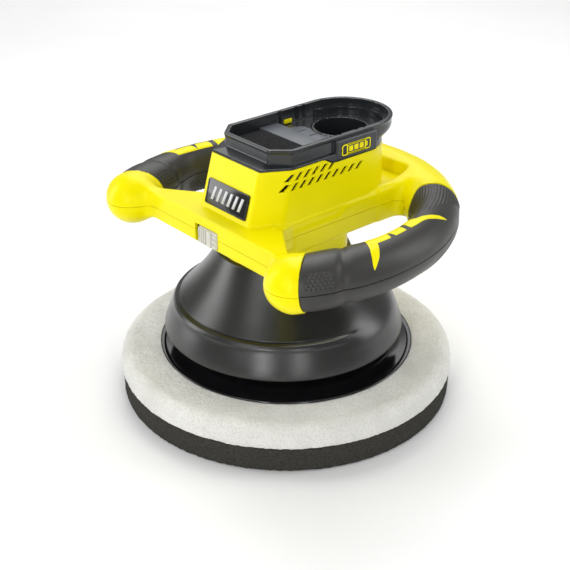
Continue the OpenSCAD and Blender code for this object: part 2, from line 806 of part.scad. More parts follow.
// Outer form of the dock above the tower, with its sloped ledge and rear overhang
module dock_form() {
    ledge_z = tower_z + 2;
    ledge = dock_points(dock_half + 2, dock_front - 4, dock_rear_c - 14, 11);
    tower_back = [for (a = [0:10:180]) [0, tower_rear_c] + (tower_rear_r - 0.3) * [cos(a), sin(a)]];
    loft(tower_points(tower_front, tower_shoulder, 0), tower_z, ledge, ledge_z);
    loft(ledge, ledge_z, dock_points(dock_half, dock_front, dock_rear_c - 14, 9), rim_z);
    loft(tower_back, tower_z, dock_points(dock_half - 0.01, 20, dock_rear_c, 2), tower_z + 4);
    translate([0, 0, tower_z + 3]) linear_extrude(rim_z - tower_z - 3)
        polygon(dock_points(dock_half - 0.01, 20, dock_rear_c, 2));
}
module dock_tray() {
    tray_half = dock_half - rim_wall;
    front = dock_front + rim_wall;
    translate([0, 0, dock_floor_z]) linear_extrude(40) polygon(dock_points(tray_half, front, dock_rear_c, 6));
    translate([0, 0, dock_floor_z - 2]) linear_extrude(3)
        polygon(dock_points(tray_half, front, dock_rear_c - 7, 6));
    intersection() {
        translate([0, 0, dock_low_z]) linear_extrude(3) polygon(dock_points(tray_half, front, dock_rear_c - 9, 6));
        translate([-50, strip_y[1], 0]) cube([100, 100, 300]);
    }
}

module battery_dock() {
    color(dark) difference() {
        union() {
            difference() {
                union() {
                    dock_form();
                    intersection() {
                        tower(0, tower_z + eps);
                        above_split();
                    }
                }
                intersection() {
                    translate([0, 0, -wall]) tower(wall, tower_z + 2 * wall);
                    translate([-50, -60, 0]) cube([100, 160, dock_low_z - floor_t]);
                }
                dock_tray();
            }
            translate([well_c[0], well_c[1], well_bottom]) cylinder(r = well_r + well_wall, h = well_h);
            for (p = dock_screw_points) translate([p[0], p[1], tower_z - dip - 2])
                cylinder(r = boss_r, h = dip + 2);
        }
        translate([well_c[0], well_c[1], well_bottom - 1]) cylinder(r = well_r, h = well_h + 30);
        for (p = dock_screw_points) translate([p[0], p[1], tower_z - dip - 3]) cylinder(r = screw_r, h = 7);
        side_badge_blocks();
        latch_blocks();
    }
}

module dock_screws() {
    color(steel) for (p = dock_screw_points) screw(p[0], p[1], tower_z - dip - 12, 15, screw_r - 0.05);
}

// Raised grey strip across the tray
module dock_floor() {
    color([0.53, 0.54, 0.57])
        translate([-dock_half + rim_wall + 0.1, strip_y[0], dock_floor_z - 2])
            cube([2 * (dock_half - rim_wall) - 0.2, strip_y[1] - strip_y[0], 2]);
}

// Soft pad that the battery's nose rests on
module dock_pad() {
    front_y = dock_front + rim_wall + 1;
    color([0.12, 0.12, 0.12])
        translate([-dock_half + rim_wall + 4, front_y, dock_floor_z - 2])
            cube([2 * (dock_half - rim_wall) - 8, strip_y[0] - 0.5 - front_y, 2]);
}

module terminal_block() {
    r = well_r + well_wall;
    color([0.1, 0.1, 0.1]) translate([well_c[0], well_c[1], well_bottom - 8]) difference() {
        cylinder(r = r, h = 8);
        for (x = [-10, 0, 10]) translate([x - 0.5, -8.05, 1.5]) cube([1.02, 16.1, 8]);
    }
}

module battery_contacts() {
    color([0.8, 0.68, 0.35]) for (x = [-10, 0, 10])
        translate([well_c[0] + x - 0.48, well_c[1] - 8, well_bottom - 6.5]) cube([0.96, 16, 6]);
}

module latch_blocks() {
    for (s = [1, -1]) translate([s * (dock_half - rim_wall + 0.9) - 0.9, 28, dock_low_z + 0.5]) cube([1.8, 8, 3]);
}

module latch_catches() {
    color(yellow) latch_blocks();
}

// ---------- badges ----------

badge_size = [46, 1.2, 19];

// Plain dark plaque on the tower's sloped front
module front_badge() {
    run = tower_front[1] - foot_front[1];
    z = deck_z + tower_h * 0.32;
    color([0.1, 0.1, 0.1])
        translate([0, foot_front[1] + run * (z - deck_z) / tower_h - 0.02, z])
            rotate([-atan2(run, tower_h), 0, 0])
                translate([-badge_size[0] / 2, -badge_size[1], -badge_size[2] / 2]) cube(badge_size);
}

module side_badge_blocks() {
    for (s = [1, -1]) translate([s * (dock_half + 2.2) - 1.4, 21, tower_z - 3]) cube([2.8, 30, 10]);
}

module side_badges() {
    color([0.1, 0.1, 0.1]) side_badge_blocks();
}

// ---------- switch and leads ----------

module switch_slider() {
    ribs = 5;
    front_y = -bar_front - 2.5;
    color([0.8, 0.78, 0.72]) translate([switch_x, 0, switch_z]) {
        difference() {
            translate([-switch_w / 2, front_y, -switch_h / 2]) cube([switch_w, 2.5 + wall + 0.3, switch_h]);
            for (i = [1:ribs])
                translate([switch_w / 2 - 1 - i * 2.2, front_y - 1, -switch_h / 2 - 1]) cube([1, 1.8, switch_h + 2]);
        }
        translate([-switch_w / 2 + 3, -bar_front + wall + 0.3 - eps, -2]) cube([switch_w - 6, 1.2, 4]);
    }
}

module switch_body() {
    color([0.12, 0.12, 0.12])
        translate([switch_x - 9, -bar_front + wall + 2.2, switch_z - 4]) cube([18, 9, 8]);
}

// Unit vector along v
function unit(v) = v / norm(v);

// An eight-sided ring of radius r about p, square to d
function lead_ring(p, d, r) =
    let (u = unit(cross(d, [1, 0.37, 0.2])), v = cross(unit(d), u))
        [for (a = [0:45:359]) p + r * (u * cos(a) + v * sin(a))];

// A lead swept along straight runs, mitred at its corners
module lead(points) {
    r = 1.2;
    n = len(points);
    rings = [
        for (i = [0:n - 1])
            let (
                before = unit(points[max(i, 1)] - points[max(i, 1) - 1]),
                after = unit(points[min(i, n - 2) + 1] - points[min(i, n - 2)])
            )
                lead_ring(points[i], before + after, r)
    ];
    polyhedron(
        points = [for (ring = rings) for (p = ring) p],
        faces = concat(
            [[for (k = [0:7]) k]],
            [for (i = [0:n - 2]) for (k = [0:7])
                let (a = 8 * i + k, b = 8 * i + (k + 1) % 8) [a, a + 8, b + 8]],
            [for (i = [0:n - 2]) for (k = [0:7])
                let (a = 8 * i + k, b = 8 * i + (k + 1) % 8) [a, b + 8, b]],
            [[for (k = [7:-1:0]) 8 * (n - 1) + k]]
        )
    );
}

module positive_lead() {
    color("red") lead([
        [8, well_c[1] - 4, well_bottom - 8], [8, well_c[1] - 4, seam_z - 3], [30, 30, seam_z - 3],
        [30, -40, seam_z - 3], [4, -52, seam_z - 1], [4, -bar_front + wall + 11.2, seam_z - 1]
    ]);
}

module negative_lead() {
    color([0.1, 0.1, 0.1]) lead([
        [-8, well_c[1] - 4, well_bottom - 8], [-8, well_c[1] - 4, seam_z - 3], [-26, 14, seam_z - 3],
        [-26, 4, can_top + 8], [-26, 4, can_top]
    ]);
}

module switched_lead() {
    color([0.7, 0.1, 0.1]) lead([
        [-4, -bar_front + wall + 11.2, seam_z - 1], [-4, -46, seam_z - 1], [26, -14, seam_z - 4],
        [26, -4, can_top + 8], [26, -4, can_top]
    ]);
}

cutting_foam();
support_foam();
backing_plate();
plate_screws();
pad_spindle();
spindle_bearing_inner();
spindle_bearing_balls();
spindle_clip();
spindle_bearing_outer();
pocket_clip();
counterweight();
cooling_fan();
motor_shaft();
lower_bearing_inner();
lower_bearing_balls();
upper_bearing_inner();
upper_bearing_balls();
armature_core();
armature_windings();
commutator();
lower_bearing_outer();
upper_bearing_outer();
motor_mount();
motor_can();
motor_magnets();
motor_end_bell();
brush_holders();
carbon_brushes();
motor_screws();
shroud();
shroud_screws();
lower_housing();
upper_housing();
housing_screws();
grip_upper_right();
grip_upper_left();
grip_lower_right();
grip_lower_left();
grip_accents_right();
grip_accents_left();
battery_dock();
dock_screws();
dock_floor();
dock_pad();
terminal_block();
battery_contacts();
latch_catches();
front_badge();
side_badges();
switch_slider();
switch_body();
positive_lead();
negative_lead();
switched_lead();
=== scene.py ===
import json
import math

import bmesh
import bpy
import numpy as np
import openvdb
from mathutils import Matrix, Vector


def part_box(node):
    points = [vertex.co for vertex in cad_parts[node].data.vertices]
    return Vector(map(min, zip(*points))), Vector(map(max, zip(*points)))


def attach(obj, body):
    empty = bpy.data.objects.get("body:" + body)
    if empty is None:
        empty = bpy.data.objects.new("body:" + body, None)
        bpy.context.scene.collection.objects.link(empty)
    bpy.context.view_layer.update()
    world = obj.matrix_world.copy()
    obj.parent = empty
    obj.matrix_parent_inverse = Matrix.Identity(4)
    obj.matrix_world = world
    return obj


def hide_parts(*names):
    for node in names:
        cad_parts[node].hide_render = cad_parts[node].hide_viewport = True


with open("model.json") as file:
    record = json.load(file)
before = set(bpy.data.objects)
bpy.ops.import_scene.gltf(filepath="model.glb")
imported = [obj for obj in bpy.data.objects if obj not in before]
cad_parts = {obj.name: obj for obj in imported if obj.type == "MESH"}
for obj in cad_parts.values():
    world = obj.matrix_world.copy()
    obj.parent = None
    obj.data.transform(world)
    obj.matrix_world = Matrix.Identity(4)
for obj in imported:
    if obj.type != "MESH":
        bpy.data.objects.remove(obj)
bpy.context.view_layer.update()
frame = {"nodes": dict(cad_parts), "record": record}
MM = 0.001
TAU = 2 * math.pi


def mm_box(node):
    """Lowest and highest corner of a CAD node, in millimetres."""
    low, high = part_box(node)
    return np.array(low) / MM, np.array(high) / MM


# ---------- sizes, in millimetres, from the frame where it holds them ----------

UPPER_LOW, UPPER_HIGH = mm_box("upper_housing")
DOCK_LOW, DOCK_HIGH = mm_box("battery_dock")
SHROUD_LOW, SHROUD_HIGH = mm_box("shroud")
FOAM_LOW, FOAM_HIGH = mm_box("support_foam")
CUT_LOW, CUT_HIGH = mm_box("cutting_foam")
PLATE_LOW, PLATE_HIGH = mm_box("backing_plate")
SWITCH_LOW, SWITCH_HIGH = mm_box("switch_slider")
SEAM_Z = UPPER_LOW[2]
TOWER_Z = UPPER_HIGH[2]
NECK_Z = mm_box("lower_housing")[0][2]
RIM_Z = DOCK_HIGH[2]
BODY_Z = NECK_Z + 13
BAR_Z = BODY_Z + 4.5
DECK_Z = SEAM_Z + 11
PAD_Y = (FOAM_LOW[1] + FOAM_HIGH[1]) / 2
TUBE_R = mm_box("grip_upper_right")[1][2] - SEAM_Z
CORE_R = TUBE_R - 3
SIDE_X = 40.0
WALL = 2.5
SEAM_GAP = 0.17
BAR_FRONT = 69.0
NECK_R = 48.0
MOTOR_WAY_R = 36.5

# Centre line of the handle ring: three arcs on each side, each tangent to the next
SIDE_R, CORNER_R, REAR_R = 133.0, 85.0, 108.4
SIDE_C = np.array([-24.0, -8.0])
FRONT_A, CORNER_A, REAR_A = -29.0, 42.0, 60.0
ZERO_A = -22.0
SIDE_RUN = math.radians(CORNER_A - ZERO_A) * SIDE_R


def polar(centre, radius, degrees):
    """The point at an angle on a circle."""
    a = math.radians(degrees)
    return np.array([centre[0] + radius * math.cos(a), centre[1] + radius * math.sin(a)])


CORNER_C = polar(SIDE_C, SIDE_R - CORNER_R, CORNER_A)
CORNER_END = polar(CORNER_C, CORNER_R, REAR_A)
REAR_C = np.array([0.0, CORNER_END[1] - math.sqrt(REAR_R**2 - CORNER_END[0] ** 2)])
REAR_JOIN_A = math.degrees(math.atan2(CORNER_END[1] - REAR_C[1], CORNER_END[0]))


# ---------- signed distances ----------


def smin(a, b, k):
    """Smooth union of two distances over a blend of k."""
    h = np.clip(0.5 + 0.5 * (b - a) / k, 0, 1)
    return b + (a - b) * h - k * h * (1 - h)


def smax(a, b, k):
    """Smooth overlap of two distances over a blend of k."""
    return -smin(-a, -b, k)


def smooth(t):
    """Eases from 0 to 1."""
    t = np.clip(t, 0, 1)
    return t * t * (3 - 2 * t)


def outline(x, y, points):
    """Signed distance to a closed outline, negative inside."""
    pts = np.array(points, np.float32)
    best = np.full(x.shape, 1e9, np.float32)
    sign = np.ones(x.shape, np.float32)
    for i in range(len(pts)):
        a, b = pts[i - 1], pts[i]
        e = b - a
        wx, wy = x - a[0], y - a[1]
        t = np.clip((wx * e[0] + wy * e[1]) / (e[0] ** 2 + e[1] ** 2), 0, 1)
        dx, dy = wx - e[0] * t, wy - e[1] * t
        best = np.minimum(best, dx * dx + dy * dy)
        over = (y >= a[1]) & (y < b[1]) & (e[0] * wy > e[1] * wx)
        under = (y < a[1]) & (y >= b[1]) & (e[0] * wy < e[1] * wx)
        sign = np.where(over | under, -sign, sign)
    return sign * np.sqrt(best)


def slab(flat, z, z0, z1, edge):
    """A flat distance carried from z0 to z1, with its edges rounded."""
    up = np.abs(z - (z0 + z1) / 2) - (z1 - z0) / 2 + edge
    side = flat + edge
    outside = np.sqrt(np.maximum(side, 0) ** 2 + np.maximum(up, 0) ** 2)
    return np.minimum(np.maximum(side, up), 0) + outside - edge


def box_2d(x, y, x0, x1, y0, y1, corner):
    """Flat distance to a rectangle with rounded corners."""
    dx = np.abs(x - (x0 + x1) / 2) - (x1 - x0) / 2 + corner
    dy = np.abs(y - (y0 + y1) / 2) - (y1 - y0) / 2 + corner
    outside = np.sqrt(np.maximum(dx, 0) ** 2 + np.maximum(dy, 0) ** 2)
    return np.minimum(np.maximum(dx, dy), 0) + outside - corner


def arc(x, y, centre, radius, a0, a1):
    """Flat distance to an arc, and the angle of the nearest point on it in degrees."""
    dx, dy = x - centre[0], y - centre[1]
    a = np.degrees(np.arctan2(dy, dx))
    near = np.clip(a, a0, a1)
    r = np.radians(near)
    px, py = centre[0] + radius * np.cos(r), centre[1] + radius * np.sin(r)
    return np.sqrt((x - px) ** 2 + (y - py) ** 2), near


def plane_through(a, b, c):
    """Unit normal with positive x, and offset, of the plane through three points."""
    n = np.cross(np.array(b) - a, np.array(c) - a)
    n = n / np.linalg.norm(n)
    if n[0] < 0:
        n = -n
    return n, float(n @ np.array(a))


# Corners of the tower's slanted facet, in plan: at its foot and, in front, at its top
FOOT_FRONT, FOOT_SHOULDER = (27, -55.3), (39, -34)
TOP_FRONT = (26.5, -44.3)
TOWER_REAR_C = 47
FRONT_COS = 0.962  # cosine of the lean of the tower's front face
FACET_N, FACET_D = plane_through(
    (*FOOT_FRONT, DECK_Z), (*FOOT_SHOULDER, DECK_Z), (*TOP_FRONT, TOWER_Z)
)


def tower_form(x, y, z, edge=0.9):
    """The tapering tower: sloped front, slanted corners, straight sides and a round rear."""
    t = (z - DECK_Z) / (TOWER_Z - DECK_Z)
    front = (-y - (-FOOT_FRONT[1] + (FOOT_FRONT[1] - TOP_FRONT[1]) * t)) * FRONT_COS
    facet = FACET_N[0] * x + FACET_N[1] * y + FACET_N[2] * z - FACET_D
    half = FOOT_SHOULDER[0] - t
    rear = np.sqrt(x * x + np.maximum(y - TOWER_REAR_C, 0) ** 2) - half
    return smax(smax(front, facet, edge), rear, edge)


def split_z(y):
    """Height of the line where the dark dock meets the yellow tower."""
    return TOWER_Z - 0.7 - 4.4 * smooth((y - 4) / 11)


def grip_start(theta):
    """Run along the ring where the rubber begins; it laps further forward on the outer side."""
    return -7.0 - 9.3 * np.cos(theta - math.radians(10))


def grip_end(theta):
    """Run along the ring where the rubber ends; it draws back on the inner side."""
    return 156.5 - 13.0 * smooth((-np.cos(theta) - 0.5) / 0.48)


def section_r(run, theta):
    """Radius of the ring's section, which is flatter on its inner side along the grips."""
    depth = TUBE_R - 8 * smooth((run - 15) / 40) * (1 - smooth((run - 118) / 35))
    c = np.minimum(np.cos(theta), 0)
    return TUBE_R / np.sqrt(1 + c * c * ((TUBE_R / depth) ** 2 - 1))


def ring_form(x, y, z):
    """The tube of the handle ring, slimmer where the rubber covers it."""
    dz = z - SEAM_Z
    full, under, end_r = TUBE_R + 0.15, CORE_R - 0.3, 18.7
    d_side, _ = arc(x, y, SIDE_C, SIDE_R, FRONT_A, CORNER_A)
    a_side = np.degrees(np.arctan2(y - SIDE_C[1], x - SIDE_C[0]))
    theta = np.arctan2(dz, np.hypot(x - SIDE_C[0], y - SIDE_C[1]) - SIDE_R)
    run = np.radians(a_side - ZERO_A) * SIDE_R
    r = full + (under - full) * smooth((run - grip_start(theta)) / 1.6)
    r = r + (full - under) * smooth((run - grip_end(theta)) / 1.6)
    r = np.where(a_side < FRONT_A, r - (full - end_r) * smooth((FRONT_A - a_side) / 5), r)
    r = r - TUBE_R + section_r(run, theta)
    tube = np.sqrt(d_side**2 + dz**2) - r
    d_corner, a_corner = arc(x, y, CORNER_C, CORNER_R, CORNER_A, REAR_A)
    theta = np.arctan2(dz, np.hypot(x - CORNER_C[0], y - CORNER_C[1]) - CORNER_R)
    run = SIDE_RUN + np.radians(a_corner - CORNER_A) * CORNER_R
    r = under + (full - under) * smooth((run - grip_end(theta)) / 1.6)
    r = r - TUBE_R + section_r(run, theta)
    tube = np.minimum(tube, np.sqrt(d_corner**2 + dz**2) - r)
    d_rear, _ = arc(x, y, REAR_C, REAR_R, REAR_JOIN_A, 90)
    return np.minimum(tube, np.sqrt(d_rear**2 + dz**2) - full)


def grip_bed(x, y, z):
    """Distance to the space that the rubber takes up round the tube's core."""
    beds = []
    spans = ((SIDE_C, SIDE_R, FRONT_A, CORNER_A), (CORNER_C, CORNER_R, CORNER_A, REAR_A))
    for centre, radius, a0, a1 in spans:
        across, _ = arc(x, y, centre, radius, a0, a1)
        off = np.sqrt(across**2 + (z - SEAM_Z) ** 2)
        a = np.degrees(np.arctan2(y - centre[1], x - centre[0]))
        theta = np.arctan2(z - SEAM_Z, np.hypot(x - centre[0], y - centre[1]) - radius)
        start = math.radians(a0 - ZERO_A) * SIDE_R
        run = start + np.radians(a - a0) * radius
        r = section_r(run, theta)
        ends = np.maximum(grip_start(theta) - run, run - grip_end(theta))
        beds.append(np.maximum(np.maximum(off - r - 5, r - 3.3 - off), ends))
    return np.minimum(*beds)


BAR = [(-90, -69), (80, -69), (84, -64), (76, -61), (43, -37.5), (40.2, -25.3), (39.5, 0), (-90, 0)]
REAR_WEB = [(-90, 60), (40, 60), (40.4, 74), (44, 84), (54, 92), (66, 98), (52, 110), (30, 118), (-90, 122)]


def housing_outside(x, y, z):
    """The yellow housing as if solid: front bar, block, rear web, neck, ring and tower."""
    bar = slab(outline(x, y, BAR), z, BAR_Z, DECK_Z, 1.6)
    crease = 151.0 + 5.5 * smooth((y - 16) / 11)
    belly = 0.8 * smooth((crease - z) / 3.5) * smooth((y + 26.5) / 3)
    block = slab(box_2d(x - belly, y, -90, SIDE_X, -46, 90, 2), z, BODY_Z, DECK_Z + 1, 2.5)
    web = slab(outline(x, y, REAR_WEB), z, BODY_Z, DECK_Z + 2, 4)
    neck = slab(np.sqrt(x * x + y * y) - NECK_R, z, NECK_Z, BODY_Z + 4, 1)
    neck = smax(neck, x - SIDE_X, 2)
    body = smin(smin(bar, block, 0.8), web, 4)
    body = smin(body, neck, 1.2)
    whole = smin(body, ring_form(x, y, z), 10)
    whole = np.maximum(whole, -grip_bed(x, y, z))
    recess = slab(box_2d(x, y, -60, 33, 60, 100, 6), z, DECK_Z - 3, DECK_Z + 20, 1)
    whole = smax(whole, -recess, 2)
    tower = np.maximum(tower_form(x, y, z), np.maximum(z - TOWER_Z - 2, DECK_Z - 6 - z))
    return smin(whole, tower, 0.8)


def housing(x, y, z):
    """Both halves of the yellow housing as one hollow shell."""
    out = housing_outside(x, y, z)
    shell = np.maximum(out, -(out + WALL))
    motor_way = np.maximum(np.sqrt(x * x + y * y) - MOTOR_WAY_R, z - BODY_Z)
    shell = np.maximum(shell, -motor_way)
    by_vents = smooth((z - DECK_Z - 18) / 3) * smooth((y + 36) / 3) * smooth((46 - y) / 3)
    inside_tower = np.maximum(tower_form(x, y, z) + WALL - 1.3 * by_vents, SEAM_Z - z)
    shell = np.maximum(shell, -inside_tower)
    return np.maximum(shell, (z - split_z(y)) * 0.9)


# ---------- from distances to meshes ----------


def add_object(name, data):
    """A new object in the scene."""
    ob = bpy.data.objects.new(name, data)
    bpy.context.scene.collection.objects.link(ob)
    return ob


def face_outwards(ob, merge=0.0):
    """Turns every face outwards, after merging points closer than merge, in metres."""
    bm = bmesh.new()
    bm.from_mesh(ob.data)
    if merge:
        bmesh.ops.remove_doubles(bm, verts=bm.verts, dist=merge)
    bmesh.ops.recalc_face_normals(bm, faces=bm.faces)
    bm.to_mesh(ob.data)
    bm.free()


def field_mesh(name, form, low, high, step):
    """Meshes a signed distance that is symmetric in x, then settles its points on the surface."""
    low, high = np.array(low, float), np.array(high, float)
    reach = max(abs(low[0]), abs(high[0])) + 2 * step
    nx = int(reach / step) + 1
    xs = (np.arange(nx) * step).astype(np.float32)
    ys = np.arange(low[1] - 2 * step, high[1] + 2 * step, step).astype(np.float32)
    zs = np.arange(low[2] - 2 * step, high[2] + 2 * step, step).astype(np.float32)
    gx, gy, gz = np.meshgrid(xs, ys, zs, indexing="ij")
    d = form(gx.ravel(), gy.ravel(), gz.ravel()).reshape(gx.shape).astype(np.float32)
    d = np.concatenate([d[:0:-1], d], 0)
    grid = openvdb.FloatGrid(3.0 * step)
    grid.copyFromArray(np.clip(d / step, -3, 3) * step)
    points, _, quads = grid.convertToPolygons(0.0, 0.0)
    p = points.astype(np.float32) * step + np.array([-(nx - 1) * step, ys[0], zs[0]], np.float32)
    for _ in range(2):
        p = settle(form, p, step)
    return make_mesh(name, p, quads[:, ::-1])


def settle(form, p, step):
    """One Newton step of each point onto the zero of the form."""
    e = 0.05
    x, y, z = np.abs(p[:, 0]), p[:, 1], p[:, 2]
    d = form(x, y, z)
    g = np.stack([form(x + e, y, z) - d, form(x, y + e, z) - d, form(x, y, z + e) - d], 1) / e
    g[:, 0] *= np.sign(p[:, 0])
    size = np.maximum((g * g).sum(1), 0.25)
    move = np.clip(d / size, -0.6 * step, 0.6 * step)[:, None] * g
    return (p - move).astype(np.float32)


def make_mesh(name, points_mm, faces):
    """A mesh object in metres from points in millimetres."""
    me = bpy.data.meshes.new(name)
    pts = np.asarray(points_mm, np.float32) * MM
    if isinstance(faces, np.ndarray):
        n, k = faces.shape
        me.vertices.add(len(pts))
        me.vertices.foreach_set("co", pts.ravel())
        me.loops.add(n * k)
        me.loops.foreach_set("vertex_index", faces.ravel().astype(np.int32))
        me.polygons.add(n)
        me.polygons.foreach_set("loop_start", (np.arange(n) * k).astype(np.int32))
        me.update(calc_edges=True)
    else:
        me.from_pydata([tuple(q) for q in pts], [], faces)
    me.validate()
    return add_object(name, me)


def finish_shading(ob, angle):
    """Smooth shading, with creases where faces meet at more than the angle in degrees."""
    me = ob.data
    me.polygons.foreach_set("use_smooth", [True] * len(me.polygons))
    me.set_sharp_from_angle(angle=math.radians(angle))


def cut_at(ob, z_mm, keep_above, name):
    """A closed copy of ob on one side of a level plane."""
    me = ob.data.copy()
    me.name = name
    out = add_object(name, me)
    bm = bmesh.new()
    bm.from_mesh(me)
    normal = (0, 0, -1) if keep_above else (0, 0, 1)
    bmesh.ops.bisect_plane(
        bm, geom=bm.verts[:] + bm.edges[:] + bm.faces[:], dist=1e-7,
        plane_co=(0, 0, z_mm * MM), plane_no=normal, clear_outer=True,
    )
    rim = [e for e in bm.edges if len(e.link_faces) == 1]
    bmesh.ops.triangle_fill(bm, use_beauty=True, use_dissolve=False, edges=rim, normal=normal)
    bmesh.ops.recalc_face_normals(bm, faces=bm.faces)
    bm.to_mesh(me)
    bm.free()
    return out


def drop(ob):
    """Removes an object and its mesh."""
    me = ob.data
    bpy.data.objects.remove(ob)
    bpy.data.meshes.remove(me)


def join(name, obs):
    """One mesh object from several, in their places."""
    bm = bmesh.new()
    for ob in obs:
        me = ob.data.copy()
        me.transform(ob.matrix_world)
        bm.from_mesh(me)
        bpy.data.meshes.remove(me)
    me = bpy.data.meshes.new(name)
    bm.to_mesh(me)
    bm.free()
    out = add_object(name, me)
    for ob in obs:
        drop(ob)
    return out


def apply_all(ob):
    """Replaces ob's mesh by its evaluated mesh."""
    deps = bpy.context.evaluated_depsgraph_get()
    me = bpy.data.meshes.new_from_object(ob.evaluated_get(deps))
    old = ob.data
    ob.modifiers.clear()
    ob.data = me
    bpy.data.meshes.remove(old)


def cut_with(ob, cutter):
    """Takes the cutter's shape out of ob and removes the cutter."""
    mod = ob.modifiers.new("cut", "BOOLEAN")
    mod.operation = "DIFFERENCE"
    mod.solver = "EXACT"
    mod.object = cutter
    bpy.context.view_layer.update()
    apply_all(ob)
    drop(cutter)
    return ob


def prism(name, flat, z0, z1, edge=0.0, segments=3, matrix=None):
    """An outline carried from z0 to z1, with rounded edges."""
    bm = bmesh.new()
    vs = [bm.verts.new((p[0] * MM, p[1] * MM, z0 * MM)) for p in flat]
    face = bm.faces.new(vs)
    top = bmesh.ops.extrude_face_region(bm, geom=[face])
    moved = [v for v in top["geom"] if isinstance(v, bmesh.types.BMVert)]
    bmesh.ops.translate(bm, verts=moved, vec=(0, 0, (z1 - z0) * MM))
    bmesh.ops.recalc_face_normals(bm, faces=bm.faces)
    if edge:
        sharp = [e for e in bm.edges if len(e.link_faces) == 2 and e.calc_face_angle(0) > 0.6]
        bmesh.ops.bevel(
            bm, geom=sharp, offset=edge * MM, segments=segments, profile=0.5,
            affect="EDGES", clamp_overlap=True,
        )
    me = bpy.data.meshes.new(name)
    bm.to_mesh(me)
    bm.free()
    if matrix is not None:
        me.transform(matrix)
    return add_object(name, me)


def mirrored(right):
    """A closed outline from its right half, front to rear, and the same half on the left."""
    return right + [(-x, y) for x, y in right[::-1]]


def rounded_rect(w, h, r, steps=5, at=(0, 0)):
    """Corner points of a rounded rectangle about a centre."""
    pts = []
    for cx, cy, a0 in ((1, 1, 0), (-1, 1, 90), (-1, -1, 180), (1, -1, 270)):
        for i in range(steps + 1):
            p = polar((cx * (w / 2 - r), cy * (h / 2 - r)), r, a0 + 90 * i / steps)
            pts.append((at[0] + p[0], at[1] + p[1]))
    return pts


def grid_solid(name, outer, inner):
    """A closed shell from two matching grids of points, outer and inner."""
    n, m = outer.shape[:2]
    pts = np.concatenate([outer.reshape(-1, 3), inner.reshape(-1, 3)])
    idx = np.arange(n * m).reshape(n, m)
    quads = [np.stack([idx[:-1, :-1], idx[1:, :-1], idx[1:, 1:], idx[:-1, 1:]], -1).reshape(-1, 4)]
    other = idx + n * m
    back = [other[:-1, :-1], other[:-1, 1:], other[1:, 1:], other[1:, :-1]]
    quads.append(np.stack(back, -1).reshape(-1, 4))
    rim = np.concatenate([idx[0, :], idx[1:, -1], idx[-1, -2::-1], idx[-2:0:-1, 0]])
    nxt = np.roll(rim, -1)
    quads.append(np.stack([rim, nxt, nxt + n * m, rim + n * m], -1))
    ob = make_mesh(name, pts, np.concatenate(quads))
    face_outwards(ob)
    return ob


def lathe(name, profile, centre, steps, shape=None):
    """Turns a closed profile of (radius, height) round a centre; shape may move each ring's points."""
    prof = np.array(profile, float)
    turn = np.linspace(0, TAU, steps, endpoint=False)
    r = np.repeat(prof[None, :, 0], steps, 0)
    z = np.repeat(prof[None, :, 1], steps, 0)
    a = np.repeat(turn[:, None], len(prof), 1)
    if shape:
        r, z = shape(r, z, a)
    pts = np.stack([centre[0] + r * np.cos(a), centre[1] + r * np.sin(a), z], -1).reshape(-1, 3)
    m = len(prof)
    idx = np.arange(steps * m).reshape(steps, m)
    nxt = np.roll(idx, -1, 0)
    wrap = np.roll(idx, -1, 1)
    wrap2 = np.roll(nxt, -1, 1)
    quads = np.stack([idx, nxt, wrap2, wrap], -1).reshape(-1, 4)
    ob = make_mesh(name, pts, quads)
    face_outwards(ob, 1e-6)
    return ob


def lattice(i, seed):
    """A repeatable value from 0 to 1 for each whole-number lattice point."""
    h = i[..., 0] * 374761393 + i[..., 1] * 668265263 + i[..., 2] * 1103515245 + seed * 69069
    h = (h ^ (h >> 13)) & 0x7FFFFFFF
    h = (h * 1274126177) & 0x7FFFFFFF
    return ((h ^ (h >> 16)) & 0xFFFF) / 65535.0


def grain(p, cell, seed=1):
    """Smooth value noise in −1 to 1 at points in millimetres."""
    q = np.asarray(p, float) / cell + 512
    i = np.floor(q).astype(np.int64)
    f = q - i
    f = f * f * (3 - 2 * f)
    total = 0
    for cx in (0, 1):
        for cy in (0, 1):
            for cz in (0, 1):
                w = (f[..., 0] if cx else 1 - f[..., 0]) * (f[..., 1] if cy else 1 - f[..., 1])
                w = w * (f[..., 2] if cz else 1 - f[..., 2])
                total = total + w * lattice(i + np.array([cx, cy, cz]), seed)
    return total * 2 - 1


# ---------- materials ----------


